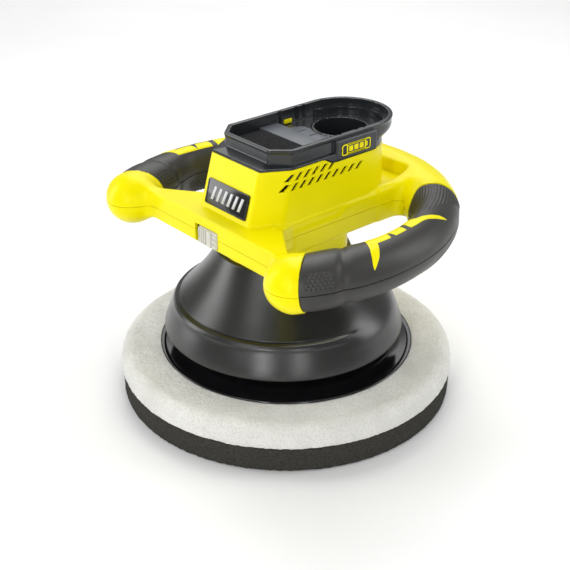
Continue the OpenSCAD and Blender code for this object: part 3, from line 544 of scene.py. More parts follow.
def surface(
    name, dark, light, rough=(0.35, 0.5), patch=40, bump=0.0, bump_scale=900.0, detail=3.0,
    metallic=0.0, specular=0.5, coat=0.0, coat_rough=0.08, sheen=0.0, pore_scale=0.0,
    pore_colour=(0, 0, 0), bump_depth=0.00012, tint=(1, 1, 1),
):
    """A moulded or foamed finish: two tones, varied roughness, fine relief and, if asked, pores."""
    mat = bpy.data.materials.new(name)
    mat.use_nodes = True
    nt = mat.node_tree
    nt.nodes.clear()
    link = nt.links.new
    out = nt.nodes.new("ShaderNodeOutputMaterial")
    shader = nt.nodes.new("ShaderNodeBsdfPrincipled")
    shader.inputs["Metallic"].default_value = metallic
    shader.inputs["Specular IOR Level"].default_value = specular
    shader.inputs["Specular Tint"].default_value = (*tint, 1)
    shader.inputs["Coat Weight"].default_value = coat
    shader.inputs["Coat Roughness"].default_value = coat_rough
    shader.inputs["Sheen Weight"].default_value = sheen
    link(shader.outputs[0], out.inputs[0])
    where = nt.nodes.new("ShaderNodeTexCoord").outputs["Object"]

    def noise_node(scale, octaves):
        n = nt.nodes.new("ShaderNodeTexNoise")
        n.inputs["Scale"].default_value = scale
        n.inputs["Detail"].default_value = octaves
        link(where, n.inputs["Vector"])
        return n.outputs["Fac"]

    tone = nt.nodes.new("ShaderNodeValToRGB")
    tone.color_ramp.elements[0].position = 0.3
    tone.color_ramp.elements[1].position = 0.7
    tone.color_ramp.elements[0].color = (*dark, 1)
    tone.color_ramp.elements[1].color = (*light, 1)
    link(noise_node(patch, 4.0), tone.inputs[0])
    colour = tone.outputs[0]
    fine = noise_node(bump_scale, detail)
    if pore_scale:
        cells = nt.nodes.new("ShaderNodeTexVoronoi")
        cells.inputs["Scale"].default_value = pore_scale
        link(where, cells.inputs["Vector"])
        mix = nt.nodes.new("ShaderNodeMixRGB")
        mix.inputs["Color1"].default_value = (*pore_colour, 1)
        spread = nt.nodes.new("ShaderNodeMapRange")
        spread.inputs["From Max"].default_value = 0.45
        link(cells.outputs["Distance"], spread.inputs["Value"])
        link(spread.outputs[0], mix.inputs["Fac"])
        link(colour, mix.inputs["Color2"])
        colour = mix.outputs[0]
    link(colour, shader.inputs["Base Color"])
    gloss = nt.nodes.new("ShaderNodeMapRange")
    gloss.inputs["To Min"].default_value = rough[0]
    gloss.inputs["To Max"].default_value = rough[1]
    link(noise_node(patch * 3, 3.0), gloss.inputs["Value"])
    link(gloss.outputs[0], shader.inputs["Roughness"])
    if bump:
        relief = nt.nodes.new("ShaderNodeBump")
        relief.inputs["Strength"].default_value = bump
        relief.inputs["Distance"].default_value = bump_depth
        link(fine, relief.inputs["Height"])
        link(relief.outputs[0], shader.inputs["Normal"])
    return mat


YELLOW = surface(
    "yellow_plastic", (0.84, 0.745, 0.0), (0.88, 0.785, 0.0), rough=(0.26, 0.34), patch=25,
    bump=0.10, bump_scale=1500, specular=0.35, tint=(1.0, 0.95, 0.25),
)
DOCK_GREY = surface(
    "dock_grey", (0.016, 0.0185, 0.0205), (0.021, 0.024, 0.0265), rough=(0.16, 0.24), patch=30,
    bump=0.12, bump_scale=1600,
)
FLOOR_GREY = surface(
    "floor_grey", (0.085, 0.093, 0.106), (0.108, 0.118, 0.133), rough=(0.35, 0.5), patch=60,
    bump=0.08, bump_scale=1800,
)
RUBBER = surface(
    "grip_rubber", (0.022, 0.0215, 0.0195), (0.033, 0.032, 0.029), rough=(0.36, 0.48), patch=35,
    bump=0.25, bump_scale=2200, specular=0.45,
)
SHROUD_GREY = surface(
    "shroud_grey", (0.011, 0.0116, 0.0106), (0.016, 0.0168, 0.0153), rough=(0.22, 0.27), patch=20,
    bump=0.32, bump_scale=1400, detail=2, specular=0.60, bump_depth=0.0003,
)
BLACK_GLOSS = surface(
    "black_gloss", (0.004, 0.004, 0.005), (0.008, 0.008, 0.009), rough=(0.08, 0.20), patch=15,
    bump=0.03, bump_scale=500, specular=0.6,
)
BLACK_PLASTIC = surface(
    "black_plastic", (0.012, 0.012, 0.013), (0.022, 0.022, 0.023), rough=(0.35, 0.5), patch=50,
    bump=0.1, bump_scale=1500,
)
PALE_FOAM = surface(
    "pale_foam", (0.64, 0.635, 0.60), (0.75, 0.745, 0.71), rough=(0.85, 0.95), patch=45,
    bump=0.6, bump_scale=650, detail=6, specular=0.15, sheen=0.2, pore_scale=620,
    pore_colour=(0.52, 0.515, 0.485), bump_depth=0.001,
)
DARK_FOAM = surface(
    "dark_foam", (0.034, 0.033, 0.029), (0.062, 0.060, 0.052), rough=(0.85, 0.95), patch=700,
    bump=1.0, bump_scale=1300, detail=5, specular=0.12, pore_scale=1100,
    pore_colour=(0.010, 0.009, 0.008), bump_depth=0.001,
)
PAD_FOAM = surface(
    "black_foam", (0.014, 0.014, 0.015), (0.030, 0.030, 0.032), rough=(0.8, 0.95), patch=500,
    bump=0.9, bump_scale=1400, detail=5, specular=0.1, pore_scale=1200, pore_colour=(0.006, 0.006, 0.006),
    bump_depth=0.001,
)
SWITCH_GREY = surface(
    "switch_grey", (0.58, 0.57, 0.50), (0.68, 0.67, 0.60), rough=(0.35, 0.48), patch=80,
    bump=0.1, bump_scale=1600,
)
STEEL = surface(
    "steel", (0.42, 0.43, 0.44), (0.60, 0.61, 0.62), rough=(0.22, 0.40), patch=90,
    bump=0.08, bump_scale=1200, metallic=1.0,
)
SPRING_STEEL = surface(
    "spring_steel", (0.16, 0.16, 0.17), (0.28, 0.28, 0.29), rough=(0.25, 0.42), patch=90,
    bump=0.06, bump_scale=1200, metallic=1.0,
)
CAST_ALLOY = surface(
    "cast_alloy", (0.34, 0.35, 0.36), (0.52, 0.53, 0.54), rough=(0.42, 0.62), patch=120,
    bump=0.5, bump_scale=900, metallic=1.0,
)
COPPER = surface(
    "copper", (0.46, 0.17, 0.07), (0.68, 0.28, 0.13), rough=(0.28, 0.42), patch=300,
    bump=0.6, bump_scale=2500, metallic=1.0,
)
BRASS = surface(
    "brass", (0.58, 0.42, 0.16), (0.74, 0.56, 0.24), rough=(0.22, 0.36), patch=120,
    bump=0.08, bump_scale=1500, metallic=1.0,
)
CARBON = surface(
    "carbon", (0.018, 0.018, 0.019), (0.040, 0.040, 0.042), rough=(0.55, 0.75), patch=400,
    bump=0.3, bump_scale=2500,
)
LEAD_RED = surface(
    "lead_red", (0.36, 0.014, 0.010), (0.46, 0.022, 0.016), rough=(0.35, 0.5), patch=90,
    bump=0.1, bump_scale=1800,
)
LEAD_BLACK = surface(
    "lead_black", (0.012, 0.012, 0.012), (0.024, 0.024, 0.024), rough=(0.35, 0.5), patch=90,
    bump=0.1, bump_scale=1800,
)
SILVER = surface(
    "silver_paint", (0.46, 0.47, 0.48), (0.56, 0.57, 0.58), rough=(0.30, 0.42), patch=60,
    bump=0.06, bump_scale=1500, metallic=0.35,
)
BY_SLOT = {
    "dark_foam": DARK_FOAM, "pale_foam": PALE_FOAM, "black_gloss": BLACK_GLOSS, "steel": STEEL,
    "spring_steel": SPRING_STEEL, "cast_alloy": CAST_ALLOY, "black_plastic": BLACK_PLASTIC,
    "copper": COPPER, "brass": BRASS, "carbon": CARBON, "shroud_grey": SHROUD_GREY,
    "yellow_plastic": YELLOW, "grip_rubber": RUBBER, "dock_grey": DOCK_GREY,
    "floor_grey": FLOOR_GREY, "switch_grey": SWITCH_GREY, "lead_red": LEAD_RED,
    "lead_black": LEAD_BLACK,
}
for part in frame["record"]["subparts"]:
    node = frame["nodes"][part["node"]]
    for held in node.material_slots:
        held.material = BY_SLOT[part["material_slot"]]


def piece(ob, material, body, node, angle=35):
    """Finishes a visible piece: material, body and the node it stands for."""
    ob.data.materials.clear()
    ob.data.materials.append(material)
    finish_shading(ob, angle)
    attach(ob, body)
    if node:
        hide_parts(node)
    return ob


# ---------- housing ----------

# Turns an outline into the tool's YZ plane, with its depth along X
SIDEWAYS = Matrix(((0, 0, 1), (1, 0, 0), (0, 1, 0))).to_4x4()


def places(node, reach=8.0):
    """Centres, in x and y, of the separate solids of a node that stand apart in plan."""
    me = frame["nodes"][node].data
    co = np.zeros(len(me.vertices) * 3)
    me.vertices.foreach_get("co", co)
    left = co.reshape(-1, 3)[:, :2] / MM
    found = []
    while len(left):
        near = np.hypot(*(left - left[0]).T) < reach
        group = left[near]
        found.append((group.min(0) + group.max(0)) / 2)
        left = left[~near]
    return found


def vent_cutter():
    """Two rows of leaning slots through both side walls."""
    lean, slot_w, slot_h = 2.6, 3.7, 5.0
    rows = ((10, 7.7, -30.1, DECK_Z + 26.1), (6, 7.7, -26.1, DECK_Z + 32.9))
    flat = [
        (-slot_w / 2 - lean, -slot_h / 2), (slot_w / 2 - lean, -slot_h / 2),
        (slot_w / 2 + lean, slot_h / 2), (-slot_w / 2 + lean, slot_h / 2),
    ]
    pieces = []
    for count, pitch, first, z in rows:
        for i in range(count):
            for x in (32, -46):
                place = Matrix.Translation(Vector((x, first + i * pitch, z)) * MM)
                pieces.append(prism("slot", flat, 0, 14, matrix=place @ SIDEWAYS))
    return join("vent_cutter", pieces)


def box_cutter(low, high):
    """A plain box to cut with."""
    flat = [(low[0], low[1]), (high[0], low[1]), (high[0], high[1]), (low[0], high[1])]
    return prism("cutter", flat, low[2], high[2])


FRONT_ROOM = 8
HOUSING_STEP = 1.0
shell_low = (0, UPPER_LOW[1] - FRONT_ROOM, NECK_Z)
shell = field_mesh("housing", housing, shell_low, (*UPPER_HIGH[:2], TOWER_Z), HOUSING_STEP)
upper_shell = cut_at(shell, SEAM_Z + SEAM_GAP, True, "upper_shell")
lower_shell = cut_at(shell, SEAM_Z - SEAM_GAP, False, "lower_shell")
drop(shell)
cut_with(upper_shell, vent_cutter())
SLOT_LOW = (SWITCH_LOW[0] - 5.6, -BAR_FRONT - 2, SWITCH_LOW[2] - 0.4)
SLOT_HIGH = (SWITCH_HIGH[0] + 0.6, -BAR_FRONT + 4, SWITCH_HIGH[2] + 0.4)
for part in (upper_shell, lower_shell):
    cut_with(part, box_cutter(SLOT_LOW, SLOT_HIGH))
screw_ways = []
for x, y in places("housing_screws"):
    way = [tuple(polar((x, y), 3.4, a)) for a in range(0, 360, 15)]
    screw_ways.append(prism("way", way, SEAM_Z - 30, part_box("housing_screws")[0][2] / MM + 2.2))
cut_with(lower_shell, join("screw_ways", screw_ways))
piece(upper_shell, YELLOW, "root", "upper_housing")
piece(lower_shell, YELLOW, "root", "lower_housing")


def vent_shade_sheet(side):
    """A dark sheet just inside the slots, with a raised border: painted shade that darkens the slots."""
    y0, y1, z0, z1 = -27.0, 43.0, DECK_Z + 20, TOWER_Z - 6.5
    x = 35.0 if side > 0 else -36.3
    place = Matrix.Translation(Vector((x, 0, 0)) * MM) @ SIDEWAYS
    sheet = [(y0, z0), (y1, z0), (y1, z1), (18, z1), (14, z1 + 4), (y0 + 6, z1 + 4), (y0, z1)]
    return prism("shade_sheet", sheet, 0, 1.3, 0.4, 2, place)


# Painted shade: dark sheets behind both rows of vent slots stand in for the shade inside the housing.
vent_shade_sheets = join("vent_shade_sheets", [vent_shade_sheet(1), vent_shade_sheet(-1)])
piece(vent_shade_sheets, BLACK_PLASTIC, "root", None)

# ---------- rubber grips with yellow inlays ----------


def grip_line(length_step):
    """Middle points, outward directions and runs along the right side of the ring."""
    side = np.arange(FRONT_A - 3, CORNER_A, math.degrees(length_step / SIDE_R))
    corner = np.arange(CORNER_A, REAR_A, math.degrees(length_step / CORNER_R))
    a = np.radians(np.concatenate([side, corner]))
    n = np.stack([np.cos(a), np.sin(a)], 1)
    c = np.concatenate([np.tile(SIDE_C, (len(side), 1)), np.tile(CORNER_C, (len(corner), 1))])
    r = np.concatenate([np.full(len(side), SIDE_R), np.full(len(corner), CORNER_R)])
    run = np.concatenate([
        np.radians(side - ZERO_A) * SIDE_R, SIDE_RUN + np.radians(corner - CORNER_A) * CORNER_R
    ])
    return c + n * r[:, None], n, run


LINE_P, LINE_N, LINE_S = grip_line(0.75)


def on_grip(side, s, theta, r):
    """Points at run s, section angle theta from outward level, and radius r from the middle."""
    px, py = np.interp(s, LINE_S, LINE_P[:, 0]), np.interp(s, LINE_S, LINE_P[:, 1])
    nx, ny = np.interp(s, LINE_S, LINE_N[:, 0]), np.interp(s, LINE_S, LINE_N[:, 1])
    c = np.cos(theta) * r
    return np.stack([side * (px + nx * c), py + ny * c, SEAM_Z + np.sin(theta) * r], -1)


def grip_radius(s, theta):
    """Outer radius of the rubber: gentle swells, a soft edge at each end, holes and pips."""
    in_from_start = s - grip_start(theta)
    r = section_r(s, theta) - 0.5
    r = r + 0.35 * np.exp(-((in_from_start - 12) / 9) ** 2) + 0.5 * smooth((s - 69) / 62)
    r = r - 1.0 * np.exp(-((in_from_start - 27) / 3.5) ** 2)
    ends = np.minimum(s - grip_start(theta), grip_end(theta) - s)
    r = r - 0.8 * np.clip(1 - ends / 1.4, 0, 1) ** 2
    from_seam = np.abs(np.sin(theta)) * TUBE_R
    r = r - 0.6 * np.clip(1 - from_seam / 0.9, 0, 1) ** 2
    pitch = 2.8
    u, v = s / pitch, theta * TUBE_R / (pitch * 0.866)
    row = np.round(v)
    du = (u - 0.5 * (row % 2) + 0.5) % 1 - 0.5
    spot = np.exp(-((du * pitch) ** 2 + ((v - row) * pitch * 0.866) ** 2) / 0.75)
    top = np.sin(theta)
    rear_from = 103 + np.where(np.cos(theta) > 0, 42, 12) * np.cos(theta) - 50 * smooth(-top * 2)
    pips = smooth((s - rear_from) / 4) * smooth((ends - 2) / 3) * smooth((from_seam - 2) / 2)
    holes = smooth((22 - in_from_start) / 3) * smooth((ends - 3) / 3)
    holes = holes * smooth((0.30 - np.abs(top - 0.46)) / 0.1)
    return r + 0.75 * pips * spot - 1.0 * holes * spot


def grip_half(side, upper):
    """The upper or lower half of one grip, whose edges meet at the seam."""
    name = f"grip_{'upper' if upper else 'lower'}_{'right' if side > 0 else 'left'}"
    gap = 0.014
    first, last = (gap, math.pi - gap) if upper else (math.pi + gap, TAU - gap)
    theta = np.linspace(first, last, 128)
    t = np.linspace(0, 1, 330)
    start, end = grip_start(theta), grip_end(theta)
    s = start[None, :] + (end - start)[None, :] * t[:, None]
    th = np.repeat(theta[None, :], len(t), 0)
    outer = on_grip(side, s, th, grip_radius(s, th))
    inner = on_grip(side, s, th, section_r(s, th) - 2.95)
    ob = grid_solid(name + "_rubber", outer, inner)
    piece(ob, RUBBER, "root", name, 60)


for side in (1, -1):
    for upper in (True, False):
        grip_half(side, upper)


def inlay(side, rows, count=44):
    """A raised inlay on the grip: rows give section angle, first and last angle round the ring."""
    rows = np.array(sorted(rows), float)
    theta = np.linspace(rows[0, 0], rows[-1, 0], count)
    lo, hi = (np.interp(theta, rows[:, 0], rows[:, k]) for k in (1, 2))
    across = np.linspace(0, 1, count)
    a = lo[:, None] + (hi - lo)[:, None] * across[None, :]
    s = np.radians(a - ZERO_A) * SIDE_R
    th = np.radians(np.repeat(theta[:, None], count, 1))
    edge = np.minimum(np.minimum(across, 1 - across)[None, :] * np.maximum((hi - lo)[:, None], 0.1) * 2.3, 9)
    ends = np.minimum(theta - theta[0], theta[-1] - theta)[:, None] * 0.33
    rise = 0.35 * np.clip(np.minimum(edge, ends) / 0.6, 0, 1) ** 0.5
    top = on_grip(side, s, th, grip_radius(s, th) + rise - 0.02)
    low = on_grip(side, s, th, section_r(s, th) - 2.2)
    return grid_solid("inlay", top, low)


# Rows of the inlays: section angle, then the first and last angle round the ring, in degrees
FANG = [
    (26, -8.35, -8.1), (36, -8.35, -6.9), (48, -7.9, -5.5), (63, -7.2, -4.2), (72, -6.6, -3.5),
    (81, -6.3, -2.9),
]
STRIPS = [
    [(79.5, -6.3, 2.4), (106, -5.0, 3.7)],
    [(79.5, 4.5, 9.4), (106, 3.6, 9.9)],
    [
        (40, 25.9, 26.2), (48, 24.3, 25.6), (58, 22.4, 24.7), (70, 19.8, 22.9), (75, 17.6, 22.0),
        (78, 11.6, 21.3), (85, 11.4, 19.7), (90, 11.5, 17.4), (106, 11.9, 15.6),
    ],
]
for side, word in ((1, "right"), (-1, "left")):
    made = [inlay(side, rows) for rows in [FANG] + STRIPS]
    piece(join(f"grip_inlays_{word}", made), YELLOW, "root", f"grip_accents_{word}")

# ---------- shroud, plate and pad ----------


def resample(points, step):
    """Points spaced evenly along an open line."""
    p = np.array(points, float)
    run = np.concatenate([[0], np.cumsum(np.hypot(*np.diff(p, axis=0).T))])
    at = np.linspace(0, run[-1], max(2, int(run[-1] / step) + 1))
    return np.stack([np.interp(at, run, p[:, 0]), np.interp(at, run, p[:, 1])], 1)


STEP_H = 24.0
SHROUD_R, SHROUD_WALL, SHROUD_BORE_R = 92.0, 2.8, 35.6


def skirt_r(h):
    """Radius of the skirt, below the step."""
    return SHROUD_R - 9.2 * np.abs(h / STEP_H) ** 1.25


def dome_r(h):
    """Radius of the dome, above the step."""
    t = (h - STEP_H) / 41
    return 50 + 31.2 * (1 - t) * (1 - 0.42 * t)


def shroud_outside(h, turn):
    """Radius at height h: a crease runs round the front and fades out at the sides."""
    from_front = np.abs(np.degrees(np.arctan2(np.cos(turn), -np.sin(turn))))
    fade = 1 - smooth((from_front - 72) / 22)
    soft = skirt_r(h) + (dome_r(h) - skirt_r(h)) * smooth((h - 10) / 30)
    over = smooth((h - STEP_H + 0.3) / 0.6)
    crisp = skirt_r(h) + (dome_r(h) - skirt_r(h)) * over
    bead = 0.6 * np.exp(-((h - STEP_H + 2.4) / 1.6) ** 2)
    groove = 1.5 * np.exp(-((h - STEP_H - 0.6) / 0.5) ** 2)
    crisp = crisp + bead - groove
    return soft + (crisp - soft) * fade


def make_shroud():
    """The shroud as rings of points: its outer face, top, bore, inner face and foot."""
    rise = SHROUD_HIGH[2] - SHROUD_LOW[2]
    below, above = np.linspace(0.8, 20, 14), np.linspace(28, rise - 0.8, 34)
    h = np.unique(np.concatenate([below, np.linspace(20, 28, 33), above]))
    turns = 360
    turn = np.linspace(0, TAU, turns, endpoint=False)
    foot_r, bore_low = shroud_outside(0.8, turn), rise - 3
    rings = [(shroud_outside(k, turn), k) for k in h]
    rings.append((shroud_outside(rise - 0.3, turn) - 0.5, rise - 0.15))
    rings += [(SHROUD_BORE_R, rise), (SHROUD_BORE_R, bore_low)]
    rings += [(shroud_outside(k, turn) - SHROUD_WALL, min(k, bore_low)) for k in h[::-3]]
    rings += [(foot_r - SHROUD_WALL + 0.5, 0.1), (foot_r - 0.5, 0.0)]
    rows = np.zeros((turns, len(rings), 2))
    for j, (r, z) in enumerate(rings):
        rows[:, j, 0] = r
        rows[:, j, 1] = z + SHROUD_LOW[2]

    def placed(r, z, a):
        return rows[:, :, 0], rows[:, :, 1]

    ob = lathe("shroud_shell", rows[0], (0, 0), turns, placed)
    piece(ob, SHROUD_GREY, "root", "shroud", 60)


make_shroud()


def arc_points(centre, r, a0, a1, n):
    """Points along an arc, both ends included."""
    return [tuple(polar(centre, r, a0 + (a1 - a0) * i / n)) for i in range(n + 1)]


def make_plate():
    """The glossy backing plate, thicker towards its middle, with a rolled rim."""
    r, z, lip = PLATE_HIGH[0], PLATE_LOW[2], 1.6
    profile = [(0, z), (r - 0.8, z)] + arc_points((r - 0.8, z + lip / 2), lip / 2, -90, 90, 8)
    profile += [(r - 2.6, z + lip), (r - 3.4, z + lip - 0.3), (r - 4.2, z + lip - 0.7)]
    profile += [(r - 9, z + lip - 0.3)]
    profile += [(r - 14, z + lip + 0.5), (r - 15.2, z + lip + 1.3), (r * 0.75, z + 4.0), (r * 0.62, z + 5)]
    profile += [(27, z + 6), (26, z + 6.8), (26, z + 8.5), (25.5, z + 9), (0, z + 9)]
    ob = lathe("gloss_plate", profile, (0, PAD_Y), 288)
    piece(ob, BLACK_GLOSS, "pad", "backing_plate", 25)


make_plate()


def roughen(ob, layers):
    """Pushes points in and out along their normals by layers of (amount, cell, seed)."""
    me = ob.data
    n = len(me.vertices)
    co, no = np.zeros(n * 3), np.zeros(n * 3)
    me.vertices.foreach_get("co", co)
    me.vertex_normals.foreach_get("vector", no)
    p, d = co.reshape(-1, 3), no.reshape(-1, 3)
    push = sum(amount * grain(p / MM, cell, seed) for amount, cell, seed in layers)
    me.vertices.foreach_set("co", (p + d * push[:, None] * MM).ravel())
    me.update()


FOAM_SWELL = 1.9


def foam_disc(name, low, high, top_round, foot_round, node, material, layers, lean=0.0, lift=0.02):
    """A foam disc with a rounded top and foot, slightly swollen and roughened."""
    r = (high[0] - low[0]) / 2 + FOAM_SWELL
    z0, z1 = low[2] + lift, high[2] - 0.02
    edge = [(84, z1)] + arc_points((r - top_round, z1 - top_round), top_round, 90, 0, 10)
    edge += arc_points((r - foot_round - lean, z0 + foot_round), foot_round, 0, -90, 6) + [(84, z0)]
    skin = resample(edge, 0.95)
    below = resample([(82, z0), (5, z0)], 2.2)
    profile = [(0, z1), (45, z1)] + [tuple(p) for p in skin] + [tuple(p) for p in below] + [(0, z0)]
    ob = lathe(name, profile, (0, PAD_Y), 760)
    roughen(ob, layers)
    piece(ob, material, "pad", node, 80)


foam_disc(
    "support_pad", FOAM_LOW, FOAM_HIGH, 10, 1.2, "support_foam", PALE_FOAM,
    [(0.30, 1.5, 3), (0.22, 3.6, 4), (0.25, 14, 5)],
)
foam_disc(
    "cutting_pad", CUT_LOW, CUT_HIGH, 1.0, 2.2, "cutting_foam", DARK_FOAM,
    [(0.30, 1.3, 7), (0.14, 3.4, 8)], lean=0.3, lift=0.45,
)

# ---------- battery dock ----------

RING_HALF, RING_FRONT, RING_REAR_C = 35.0, -34.4, 61.0
TRAY_Z, STEP_TRAY_Z = 196.0, 197.5
WELL_Y, WELL_R = 57.0, 20.0
RIM_WALL = 3.0
SLANT_N, SLANT_D = (0.748, -0.663), 40.76  # the rim's slanted front corner, as a line in plan


def ring_flat(x, y, rear_c=RING_REAR_C):
    """Flat distance to the dock's rim: straight sides, slanted front corners and a round rear."""
    cap = np.sqrt(x * x + np.maximum(y - rear_c, 0) ** 2) - RING_HALF
    slant = SLANT_N[0] * x + SLANT_N[1] * y - SLANT_D
    return smax(smax(cap, RING_FRONT - y, 1.0), slant, 1.0)


def dock(x, y, z):
    """The battery dock: rim, skirt over the tower, boss each side, tray and battery well."""
    flat = ring_flat(x, y)
    from_well = np.sqrt(x * x + (y - WELL_Y) ** 2)
    tower = tower_form(x, y, z, 1.0)
    tuck = 1 - np.sqrt(np.maximum(1 - np.clip((200.7 - z) / 6.2, 0, 1) ** 2, 0))
    lean = ring_flat(x, y, RING_REAR_C - 14 * tuck)
    ring = slab(lean - 0.5 * smooth((z - RIM_Z + 3) / 1.5), z, TRAY_Z - 2.5, RIM_Z, 0.9)
    ledge = z - TOWER_Z - 0.9 - 1.5 * np.clip(-tower / 8, 0, 1)
    skirt = np.maximum(smax(tower, ledge, 0.7), split_z(y) + 0.12 - z)
    boss = slab(box_2d(x, y, -38.1, 38.1, 17, 57.5, 1), z, 189, RIM_Z - 3, 1.0)
    boss = np.maximum(boss, split_z(y) + 0.12 - z)
    out = smin(smin(ring, skirt, 0.8), boss, 0.6)
    hollow = np.maximum(tower + WALL, z - TRAY_Z + 2.5)
    out = np.maximum(out, -hollow)
    tube = np.maximum(from_well - WELL_R - 2.2, np.maximum(DOCK_LOW[2] - z, z - TRAY_Z - 0.8))
    out = np.minimum(out, tube)
    floor_z = np.where(y < 21, STEP_TRAY_Z, TRAY_Z)
    inner = smax(flat + RIM_WALL, floor_z - z, 0.4)
    ledge_in = np.where(z < 201.5, 3.6, 0.0) * smooth((y - 58) / 6)
    inner = np.maximum(inner, flat + RIM_WALL + ledge_in)
    lip = np.maximum(np.abs(from_well - WELL_R - 1.1) - 1.1, z - TRAY_Z - 0.8)
    out = np.maximum(out, -np.maximum(inner, -lip))
    for groove_y in (24.5, 41.0, 48.5):
        groove = np.maximum(np.sqrt((x - 32.2) ** 2 + (y - groove_y) ** 2) - 1.3, STEP_TRAY_Z - z)
        out = np.maximum(out, -groove)
    return np.maximum(out, WELL_R - from_well)


DOCK_STEP = 0.7
dock_body = field_mesh("dock_body", dock, (0, *DOCK_LOW[1:]), DOCK_HIGH, DOCK_STEP)
piece(dock_body, DOCK_GREY, "root", "battery_dock", 40)

STRIP_LOW, STRIP_HIGH = mm_box("dock_floor")
MAT_LOW, MAT_HIGH = mm_box("dock_pad")


def floor_plate():
    """The pale two-level plate in the tray, with guide ribs and a notch beside the well."""
    half = STRIP_HIGH[0] - 0.2
    upper = [(-half, STRIP_LOW[1]), (half, STRIP_LOW[1]), (half, STRIP_HIGH[1]), (-half, STRIP_HIGH[1])]
    pieces = [prism("upper", upper, STRIP_LOW[2], STRIP_HIGH[2], 0.35, 2)]
    y = STRIP_HIGH[1] - 0.4
    lower = mirrored([(22, y), (22, y + 9), (17, y + 15), (9, y + 15), (6, y + 12)])
    pieces.append(prism("lower", lower, TRAY_Z + 0.02, TRAY_Z + 1.1, 0.3, 2))
    for x in (-12, 0, 12):
        rib = rounded_rect(1.4, 11, 0.6, 3, (x, y + 6))
        pieces.append(prism("rib", rib, TRAY_Z + 1.0, TRAY_Z + 1.7, 0.2, 2))
    return join("tray_plate", pieces)


piece(floor_plate(), FLOOR_GREY, "root", "dock_floor")


def tray_mat():
    """The soft mat in front of the plate, with slanted front corners."""
    x, y0, y1 = MAT_HIGH[0], MAT_LOW[1], MAT_HIGH[1]
    flat = mirrored([(x - 6, y0), (x, y0 + 7), (x, y1 - 1), (x - 4, y1)])
    return prism("tray_mat", flat, MAT_LOW[2], MAT_HIGH[2], 0.5, 3)


piece(tray_mat(), PAD_FOAM, "root", "dock_pad")


def latch_catch(side):
    """A small yellow catch standing proud of the tray's side wall."""
    flat = [(side * (32.3 - p[0]), 32.2 + p[1]) for p in ((0, -4.2), (1.5, -3.2), (1.5, 3.2), (0, 4.2))]
    return prism("catch", flat, STEP_TRAY_Z - 0.9, STEP_TRAY_Z + 2.2, 0.3, 2)


catches = join("catches", [latch_catch(1), latch_catch(-1)])
piece(catches, YELLOW, "root", "latch_catches")

# ---------- badges and switch ----------


def front_plaque():
    """A plain dark plaque with a raised rim and leaning silver bars."""
    low, high = mm_box("front_badge")
    run, rise = TOP_FRONT[1] - FOOT_FRONT[1], TOWER_Z - DECK_Z
    up = Vector((0, run, rise)).normalized()
    out = Vector((1, 0, 0)).cross(up)
    z = (low[2] + high[2]) / 2
    back = Vector((0, FOOT_FRONT[1] + run * (z - DECK_Z) / rise, z))
    on_slope = Matrix(((1, 0, 0), (0, up.y, out.y), (0, up.z, out.z))).to_4x4()
    m = Matrix.Translation(back * MM) @ on_slope
    w, h = high[0] - low[0] - 0.2, 18.6
    plate = prism("plaque", rounded_rect(w, h, 1.6), -0.3, 0.7, 0.25, 2, m)
    rim_out = prism("rim", rounded_rect(w, h, 1.6), 0.5, 1.05, 0.2, 2, m)
    rim_in = prism("cut", rounded_rect(w - 1.8, h - 1.8, 1.0), 0.4, 2.0, 0, 1, m)
    cut_with(rim_out, rim_in)
    dark = join("front_plaque", [plate, rim_out])
    bars = []
    for i in range(6):
        x = -15 + i * 6
        bar = [(x - 2.2, -5), (x + 0.6, -5), (x + 3.2, 5), (x + 0.4, 5)]
        bars.append(prism("bar", bar, 0.6, 1.05, 0.15, 2, m))
    return dark, join("plaque_bars", bars)


plaque, plaque_bars = front_plaque()
piece(plaque, BLACK_GLOSS, "root", "front_badge")
piece(plaque_bars, SILVER, "root", None)


def side_plaques():
    """A dark plate each side with a yellow battery pictogram in a yellow frame."""
    low, high = mm_box("side_badges")
    y, z = (low[1] + high[1]) / 2, (low[2] + high[2]) / 2
    w, h = high[1] - low[1] - 0.4, high[2] - low[2] - 0.4
    dark, bright = [], []
    for side in (1, -1):
        turn = Matrix(((0, 0, side), (side, 0, 0), (0, 1, 0))).to_4x4()
        m = Matrix.Translation(Vector((side * (high[0] - 0.6), y, z)) * MM) @ turn
        dark.append(prism("plate", rounded_rect(w, h, 2.4), -0.4, 0.3, 0.15, 2, m))
        ring = prism("ring", rounded_rect(w - 1.2, h - 1.2, 1.9), 0.2, 0.52, 0.1, 1, m)
        bright.append(cut_with(ring, prism("cut", rounded_rect(w - 3.0, h - 3.0, 1.2), 0, 2, 0, 1, m)))
        cell = prism("cell", rounded_rect(19, 8.0, 1.2), 0.2, 0.52, 0.1, 1, m)
        bright.append(cut_with(cell, prism("cut", rounded_rect(16.6, 5.6, 0.6), 0, 2, 0, 1, m)))
        tip = rounded_rect(1.8, 3.6, 0.3, at=(10.2, 0))
        bright.append(prism("tip", tip, 0.2, 0.52, 0.1, 1, m))
        for i in range(3):
            bar = rounded_rect(3.9, 4.0, 0.3, at=(-5.2 + i * 5.2, 0))
            bright.append(prism("charge", bar, 0.2, 0.52, 0.1, 1, m))
    return join("side_plates", dark), join("side_signs", bright)


side_plate, side_sign = side_plaques()
piece(side_plate, BLACK_PLASTIC, "root", "side_badges")
piece(side_sign, YELLOW, "root", None)


